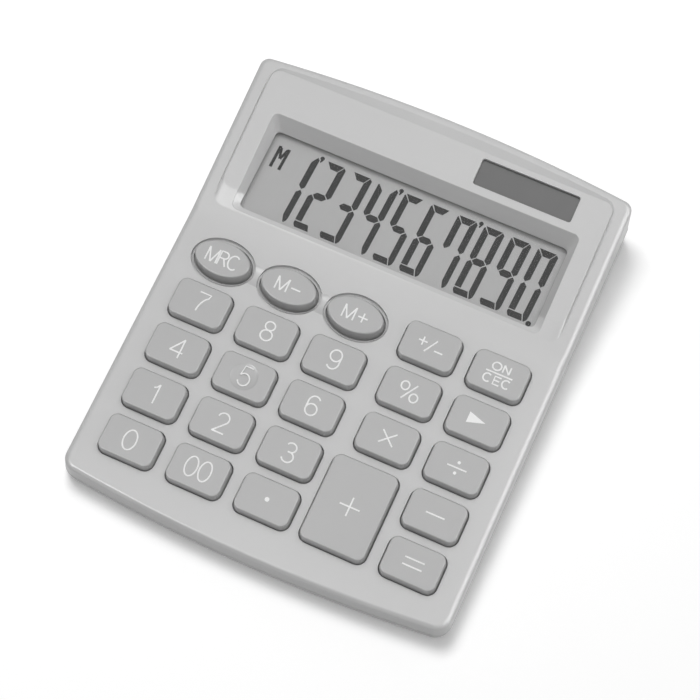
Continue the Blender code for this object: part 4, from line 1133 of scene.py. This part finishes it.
lit = {
    "1": ("upper_right", "lower_right"),
    "2": ("top", "upper_right", "middle", "lower_left", "bottom"),
    "3": ("top", "upper_right", "middle", "lower_right", "bottom"),
    "4": ("upper_left", "upper_right", "middle", "lower_right"),
    "5": ("top", "upper_left", "middle", "lower_right", "bottom"),
    "6": ("top", "upper_left", "middle", "lower_left", "lower_right", "bottom"),
    "7": ("top", "upper_left", "upper_right", "lower_right"),
    "8": tuple(bars),
    "9": ("top", "upper_left", "upper_right", "middle", "lower_right", "bottom"),
    "0": ("top", "upper_left", "upper_right", "lower_left", "lower_right", "bottom"),
}
slanted = Matrix.Identity(4)
slanted[0][1] = DIGIT_SLANT
ON_GLASS = KEYPAD @ Matrix.Translation((0, 0, GLASS_TOP))
marks = []
for index, digit in enumerate("1234567890"):
    shift = Matrix.Translation((DIGIT_LEFT - DIGIT_PITCH * (9 - index), DIGIT_FOOT, 0))
    for name in lit[digit]:
        marks.append(place(copy_of(bars[name], "lit_" + name), ON_GLASS @ shift @ slanted))
discard(*bars.values())


def dot(radius):
    turns = [math.tau * step / 20 for step in range(20)]
    return [(radius * math.cos(turn), radius * math.sin(turn)) for turn in turns]


# The thousands marks are apostrophes, and a small M at the left says that the memory is in use.
TICK_RADIUS = 0.00060
TICK_TAIL = ((-0.0002, -0.0004), (0.0006, -0.0001), (0.00005, -0.0013), (-0.0003, -0.0012))
TICK_HEIGHT = 0.10598
for x in (-0.02757, -0.00483, 0.01786):
    for corners in (dot(TICK_RADIUS), TICK_TAIL):
        tick = segment("apostrophe", corners)
        marks.append(place(tick, ON_GLASS @ Matrix.Translation((x, TICK_HEIGHT, 0))))
POINT_RADIUS = 0.00074
POINT_PLACE = (0.03966, 0.08546, 0)
point = segment("decimal_point", dot(POINT_RADIUS))
marks.append(place(point, ON_GLASS @ Matrix.Translation(POINT_PLACE)))
memory_bars = (
    ((-0.03972, 0.09835), (-0.03886, 0.09835), (-0.03869, 0.10485), (-0.03954, 0.10485)),
    ((-0.03726, 0.09835), (-0.03641, 0.09835), (-0.03616, 0.10475), (-0.03702, 0.10475)),
    ((-0.03839, 0.10455), (-0.03909, 0.10435), (-0.03829, 0.10124), (-0.03759, 0.10145)),
    ((-0.03659, 0.10433), (-0.03729, 0.10457), (-0.03819, 0.10147), (-0.03749, 0.10123)),
)
for corners in memory_bars:
    marks.append(place(segment("memory_mark", corners), ON_GLASS))
segments = joined(marks)
segments.name = "lit_segments"
crystal = toned("darkened_liquid_crystal", "#0C0C0C", "#141414", 50.0, 0.35, specular=0.1)
segments.data.materials.append(crystal)
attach(segments, "case")


# ---- Display window ----
# A sheet of clear acrylic, cut to size, held under the lip of the recess above the glass.

WINDOW_LOW = -0.0013
WINDOW_HIGH = -0.0003
WINDOW_OVERLAP = 0.0010
WINDOW_BREAK = 0.00008

clear = bpy.data.materials.new("clear_polished_acrylic")
clear.use_nodes = True
here = inside(clear)
haze = add_node(clear, "ShaderNodeTexNoise", {"Vector": here, "Scale": 90.0, "Detail": 2.0})
veil = add_node(
    clear,
    "ShaderNodeMapRange",
    {"Value": haze.outputs["Fac"], "To Min": 0.05, "To Max": 0.07},
)
looks = {"Roughness": veil.outputs["Result"], "Base Color": linear("#E4E4E4")}
feed(shader_of(clear), looks | {"Alpha": 0.04, "IOR": 1.49})
window = block(
    "acrylic_window",
    (2 * (SIGHT_HALF + WINDOW_OVERLAP), SIGHT_BACK - SIGHT_FRONT + 2 * WINDOW_OVERLAP),
    WINDOW_LOW,
    WINDOW_HIGH,
    spot=(0, SIGHT_MIDDLE),
)
bevel_edges(lambda middle, way: True, WINDOW_BREAK, 1)
close(window)
window.data.materials.append(clear)
place(window, KEYPAD)
smooth(window)
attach(window, "case")
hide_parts("display_window")


# ---- Solar cell ----
# Amorphous silicon on glass: a dark grey plate with a black border that the panel's thin edge
# overhangs.

PLATE_MARGIN = 0.0009
PLATE_LOW = -0.00215
PLATE_HIGH = -0.00115
PLATE_BREAK = 0.00006
# The black border is widened at the back into a strip of painted shade along the window's back
# edge.
BACK_SHADE_STRIP = 0.00025  # the back border is wider by this

silicon = toned("amorphous_silicon", "#5C5C5C", "#626262", 120.0, 0.22)
plate = [side + 2 * PLATE_MARGIN for side in SOLAR_SIZE]
cell = block("solar_plate", plate, PLATE_LOW, PLATE_HIGH)
bevel_edges(lambda middle, way: True, PLATE_BREAK, 1)
choose_top()
step_in(PLATE_MARGIN)
close(cell)
# The silicon's back edge is drawn in here, so that the black shows as a strip of painted shade
# under the window's back edge.
for vert in cell.data.vertices:
    if abs(vert.co.x) < SOLAR_SIZE[0] / 2 + CLEAR and 0 < vert.co.y < SOLAR_SIZE[1] / 2 + CLEAR:
        vert.co.y -= BACK_SHADE_STRIP
place(cell, solar_place)
finish(cell, silicon, black_print_and_shade)
leave_border(cell)
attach(cell, "case")
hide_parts("solar_cell")


# ---- Solar leads ----
# Two thin stranded wires in soft PVC sleeves, red and black, soldered from the cell to the board.


def coat(name, material):
    """Give a CAD node that is kept as it is its material."""
    node[name].material_slots[0].material = material


red_sleeve = grained("red_pvc_sleeve", "#A8281F", "#B43A30", 0.0004, 0.42, 0.06)
black_sleeve = grained("black_pvc_sleeve", "#1A1A1A", "#242424", 0.0004, 0.42, 0.06)
coat("solar_lead_positive", red_sleeve)
coat("solar_lead_negative", black_sleeve)


# ---- Key mat ----
# One sheet of silicone rubber, moulded with a hollow dome under each key.

coat("key_mat", grained("grey_silicone_rubber", "#8C8C8A", "#949492", 0.0004, 0.60, 0.12))


# ---- Contact strip ----
# Thin layers of black conducting and pale insulating silicone, squeezed between glass and board.


def overlaid(material, cover, colour):
    """Lay a second colour over a material's own where the cover says so."""
    shader = shader_of(material)
    under = shader.inputs["Base Color"].links[0].from_socket
    mixed = add_node(
        material, "ShaderNodeMix", {0: cover, 6: under, 7: linear(colour)}, data_type="RGBA"
    )
    feed(shader, {"Base Color": mixed.outputs[2]})


WAVE_SPACING = math.pi / 10  # a wave texture's bands lie so far apart at scale 1
LAYER = 0.00018
zebra = grained("layered_silicone_rubber", "#1C1C1C", "#242424", 0.0003, 0.55, 0.08)
here = inside(zebra)
layers = add_node(zebra, "ShaderNodeTexWave", {"Vector": here, "Scale": WAVE_SPACING / LAYER})
overlaid(zebra, layers.outputs["Fac"], "#A2A2A0")
coat("contact_strip", zebra)


# ---- Circuit board and chip ----
# Glass laminate under a green solder mask, with its tracks showing through. The chip is bonded
# straight to the board, and a drop of black epoxy resin covers it.

board_green = grained("green_solder_mask", "#2C5B3A", "#336642", 0.0004, 0.38, 0.06)
here = inside(board_green)
# Tracks 0.2 mm wide and 1.27 mm apart.
bricks = {"Scale": 100.0, "Mortar Size": 0.02, "Brick Width": 1.0, "Row Height": 0.127}
tracks = add_node(board_green, "ShaderNodeTexBrick", {"Vector": here, **bricks})
overlaid(board_green, tracks.outputs["Fac"], "#41784E")
coat("circuit_board", board_green)
coat("chip_cover", grained("black_epoxy_resin", "#121212", "#1B1B1B", 0.0010, 0.30, 0.10))


# ---- Button cell and its contacts ----
# The cell's can is drawn from nickel-plated steel and shows fine turned rings. The contacts are
# bent from tinned spring bronze strip.

nickel = grained("nickel_plated_steel", "#CFCBC3", "#D9D5CD", 0.0003, 0.24, 0.04, metal=True)
here = inside(nickel)
to_middle = (-CELL_PLACE[0], -CELL_PLACE[1], 0)
centred = add_node(nickel, "ShaderNodeMapping", {"Vector": here, "Location": to_middle})
TURNED_RING = 0.00015
rings = add_node(
    nickel,
    "ShaderNodeTexWave",
    {"Vector": centred.outputs["Vector"], "Scale": WAVE_SPACING / TURNED_RING},
    wave_type="RINGS",
    rings_direction="Z",
)
gloss = add_node(
    nickel, "ShaderNodeMapRange", {"Value": rings.outputs["Fac"], "To Min": 0.18, "To Max": 0.32}
)
feed(shader_of(nickel), {"Roughness": gloss.outputs["Result"]})
coat("button_cell", nickel)
bronze = grained("tinned_spring_bronze", "#CAC5BA", "#D6D1C7", 0.0003, 0.30, 0.05, metal=True)
coat("contact_negative", bronze)
coat("contact_positive", bronze)


# ---- Battery door ----
# A flat plate of the housing's ABS, flush with the underside. It lies on the ledge round its
# opening, over the button cell, and its one screw is sunk in it.

DOOR_ROUND = 0.0003
RECESS_TOP = 0.0017
door = door_block("battery_door_plate", 0.0, UNDERSIDE + DOOR_ROUND, FLOOR_TOP)
bpy.ops.object.mode_set(mode="EDIT")
choose_bottom()
round_over(DOOR_ROUND, 3)
close(door)
recess = post("screw_recess", HEAD + PLAY, 0, RECESS_TOP, DOOR_SCREW)
hole = post("screw_hole", SHANK + PLAY, UNDERSIDE + CLEAR, FLOOR_TOP + CLEAR, DOOR_SCREW)
cut_out(door, [recess, hole])
finish(door, case_abs)
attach(door, "case")
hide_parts("battery_door")


# ---- Screws ----
# Zinc-plated steel, with cross recesses. Four hold the housings together from below, one with a
# flatter head holds the door, and four small ones hold the board.

SCREW_FACE = 0.0009
steel = grained("zinc_plated_steel", "#C8C8C6", "#D2D2CF", 0.0003, 0.28, 0.05, metal=True)
HEAD_ROUND = 0.0004
POINT = 0.0008
POINT_SHARE = 0.85
CROSS = (0.0021, 0.00045, 0.0013)
CROSS_MIDDLE = 0.0002
CROSS_TAPER = 0.45


def cross_screw(name, head, length):
    """Screw that points up, with the face of its head at height zero."""
    screw = disc(name, (HEAD, HEAD), HEAD_ROUND, head, 32)
    choose_bottom()
    round_over(HEAD_ROUND, 4)
    choose_top()
    step_in(HEAD - SHANK)
    step_in(0.0, length - head - POINT)
    step_in(SHANK * POINT_SHARE, POINT)
    close(screw)
    bars = []
    for turn in (0, 90):
        bar = begin(
            "recess_bar",
            bpy.ops.mesh.primitive_cube_add,
            size=1,
            location=(0, 0, CROSS_MIDDLE),
            rotation=(0, 0, math.radians(turn)),
            scale=CROSS,
        )
        choose_top()
        bpy.ops.transform.resize(value=(CROSS_TAPER, CROSS_TAPER, 1), center_override=(0, 0, 0))
        bars.append(close(bar))
    cut_out(screw, bars)
    finish(screw, steel)
    return screw


case_screw = cross_screw("case_screw_blank", head=0.0013, length=0.0071)
for corner, (x, y) in CASE_SCREWS.items():
    screw = copy_of(case_screw, "cross_screw_" + corner)
    place(screw, Matrix.Translation((x, y, SCREW_FACE)))
    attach(screw, "case")
    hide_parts("case_screw_" + corner)
discard(case_screw)
door_screw = cross_screw("cross_screw_door", head=0.0008, length=0.0043)
place(door_screw, Matrix.Translation((*DOOR_SCREW, SCREW_FACE)))
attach(door_screw, "case")
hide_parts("door_screw")
for spot in ("left", "right", "middle_back", "middle_front"):
    coat("board_screw_" + spot, steel)


# ---- Feet ----
# Four discs of black rubber, stuck in shallow round sockets. Each is a little dished below.

foot_rubber = grained("black_rubber", "#1B1B1B", "#242424", 0.0004, 0.75, 0.25)
FOOT_EDGE = 0.0003
FOOT_TOP = 0.0013
FOOT_RIM = 0.0009
FOOT_DISH = 0.00015
foot_blank = disc("foot_blank", (FOOT_RADIUS, FOOT_RADIUS), FOOT_EDGE, FOOT_TOP, 64)
choose_bottom()
round_over(FOOT_EDGE, 4)
step_in(FOOT_RIM)
step_in(2 * FOOT_DISH, -FOOT_DISH)
close(foot_blank)
finish(foot_blank, foot_rubber)
for corner, (x, y) in FEET.items():
    foot = copy_of(foot_blank, "rubber_foot_" + corner)
    place(foot, Matrix.Translation((x, y, 0)))
    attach(foot, "case")
    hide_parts("foot_" + corner)
discard(foot_blank)


# ---- Camera ----
# Its place, turn and lens come from fitting the case's outline, the key grid, the display and the
# solar window in the photo.

bpy.ops.object.camera_add()
camera = bpy.context.object
camera.matrix_world = Matrix(
    (
        (0.9102915, -0.3855911, 0.1506284, 0.08167),
        (0.4139668, 0.8470854, -0.3332833, -0.18118),
        (0.0009159, 0.3657402, 0.9307165, 0.50810),
        (0, 0, 0, 1),
    )
)
camera.data.lens = 108.05
camera.data.sensor_width = 36.0
bpy.context.scene.camera = camera


# ---- Desk and light ----
# A plain white desk. For the camera it is a little brighter than for the light that it throws
# back, so that it reads as white and still keeps the calculator's shadow.

desk = begin("desk", bpy.ops.mesh.primitive_plane_add, size=4)
close(desk)
laminate = bpy.data.materials.new("white_laminate")
laminate.use_nodes = True
seen = add_node(laminate, "ShaderNodeLightPath").outputs
rays = {0: seen["Is Camera Ray"], 1: seen["Is Glossy Ray"]}
either = add_node(laminate, "ShaderNodeMath", rays, operation="ADD")
direct = add_node(
    laminate,
    "ShaderNodeMath",
    {0: either.outputs[0], 1: seen["Is Transmission Ray"]},
    operation="ADD",
    use_clamp=True,
).outputs[0]
colour = add_node(
    laminate,
    "ShaderNodeMix",
    {0: direct, 6: linear("#B6B6B6"), 7: linear("#F8F8F8")},
    data_type="RGBA",
)
lift = add_node(laminate, "ShaderNodeMath", {0: direct, 1: 0.16}, operation="MULTIPLY")
looks = {"Base Color": colour.outputs[2], "Emission Strength": lift.outputs[0]}
matt = {"Emission Color": (1, 1, 1, 1), "Roughness": 0.9, "Specular IOR Level": 0.0}
feed(shader_of(laminate), looks | matt)
desk.data.materials.append(laminate)

studio = bpy.data.worlds.new("studio")
studio.use_nodes = True
bpy.context.scene.world = studio
feed(studio.node_tree.nodes["Background"], {"Color": (1, 1, 1, 1), "Strength": 0.385})

# The softboxes stand round the calculator, each given by its azimuth and elevation in degrees, its
# distance and size in metres, its power in watts, and what it lights. One lights the desk alone
# and throws the shadow, and a low one the housings alone. Two only draw the gloss along the edges.
desk_alone = bpy.data.collections.new("desk_alone")
desk_alone.objects.link(desk)
all_but_desk = bpy.data.collections.new("all_but_desk")
all_but_desk.objects.link(desk)
all_but_desk.collection_objects[0].light_linking.link_state = "EXCLUDE"
housings = bpy.data.collections.new("housings")
housings.objects.link(tray)
housings.objects.link(top)
softboxes = {
    "shadow_light": (134, 69.5, 0.8, 0.32, 4.1, desk_alone),
    "back_light": (135, 70, 0.8, 0.4, 0.9, all_but_desk),
    "right_light": (45, 70, 0.8, 0.4, 1.40, all_but_desk),
    "left_light": (225, 35, 0.8, 0.4, 0.1, all_but_desk),
    "near_light": (240, 76, 0.4, 0.2, 0.20, all_but_desk),
    "low_light": (0, 6, 0.8, 0.15, 0.8, housings),
    "side_gloss": (12, 48, 0.8, 0.55, 4.8, all_but_desk),
    "front_gloss": (222, 58, 0.8, 0.3, 5.0, all_but_desk),
}
for name, (azimuth, elevation, distance, size, power, lights) in softboxes.items():
    turn, height = math.radians(azimuth), math.radians(elevation)
    way = Vector(
        (math.cos(turn) * math.cos(height), math.sin(turn) * math.cos(height), math.sin(height))
    )
    bpy.ops.object.light_add(type="AREA", location=way * distance + Vector((0, 0, 0.01)))
    lamp = bpy.context.object
    lamp.name = name
    lamp.data.size = size
    lamp.data.energy = power
    lamp.rotation_euler = (-way).to_track_quat("-Z", "Y").to_euler()
    lamp.light_linking.receiver_collection = lights
    lamp.visible_diffuse = "gloss" not in name

bpy.context.scene.view_settings.view_transform = "Standard"
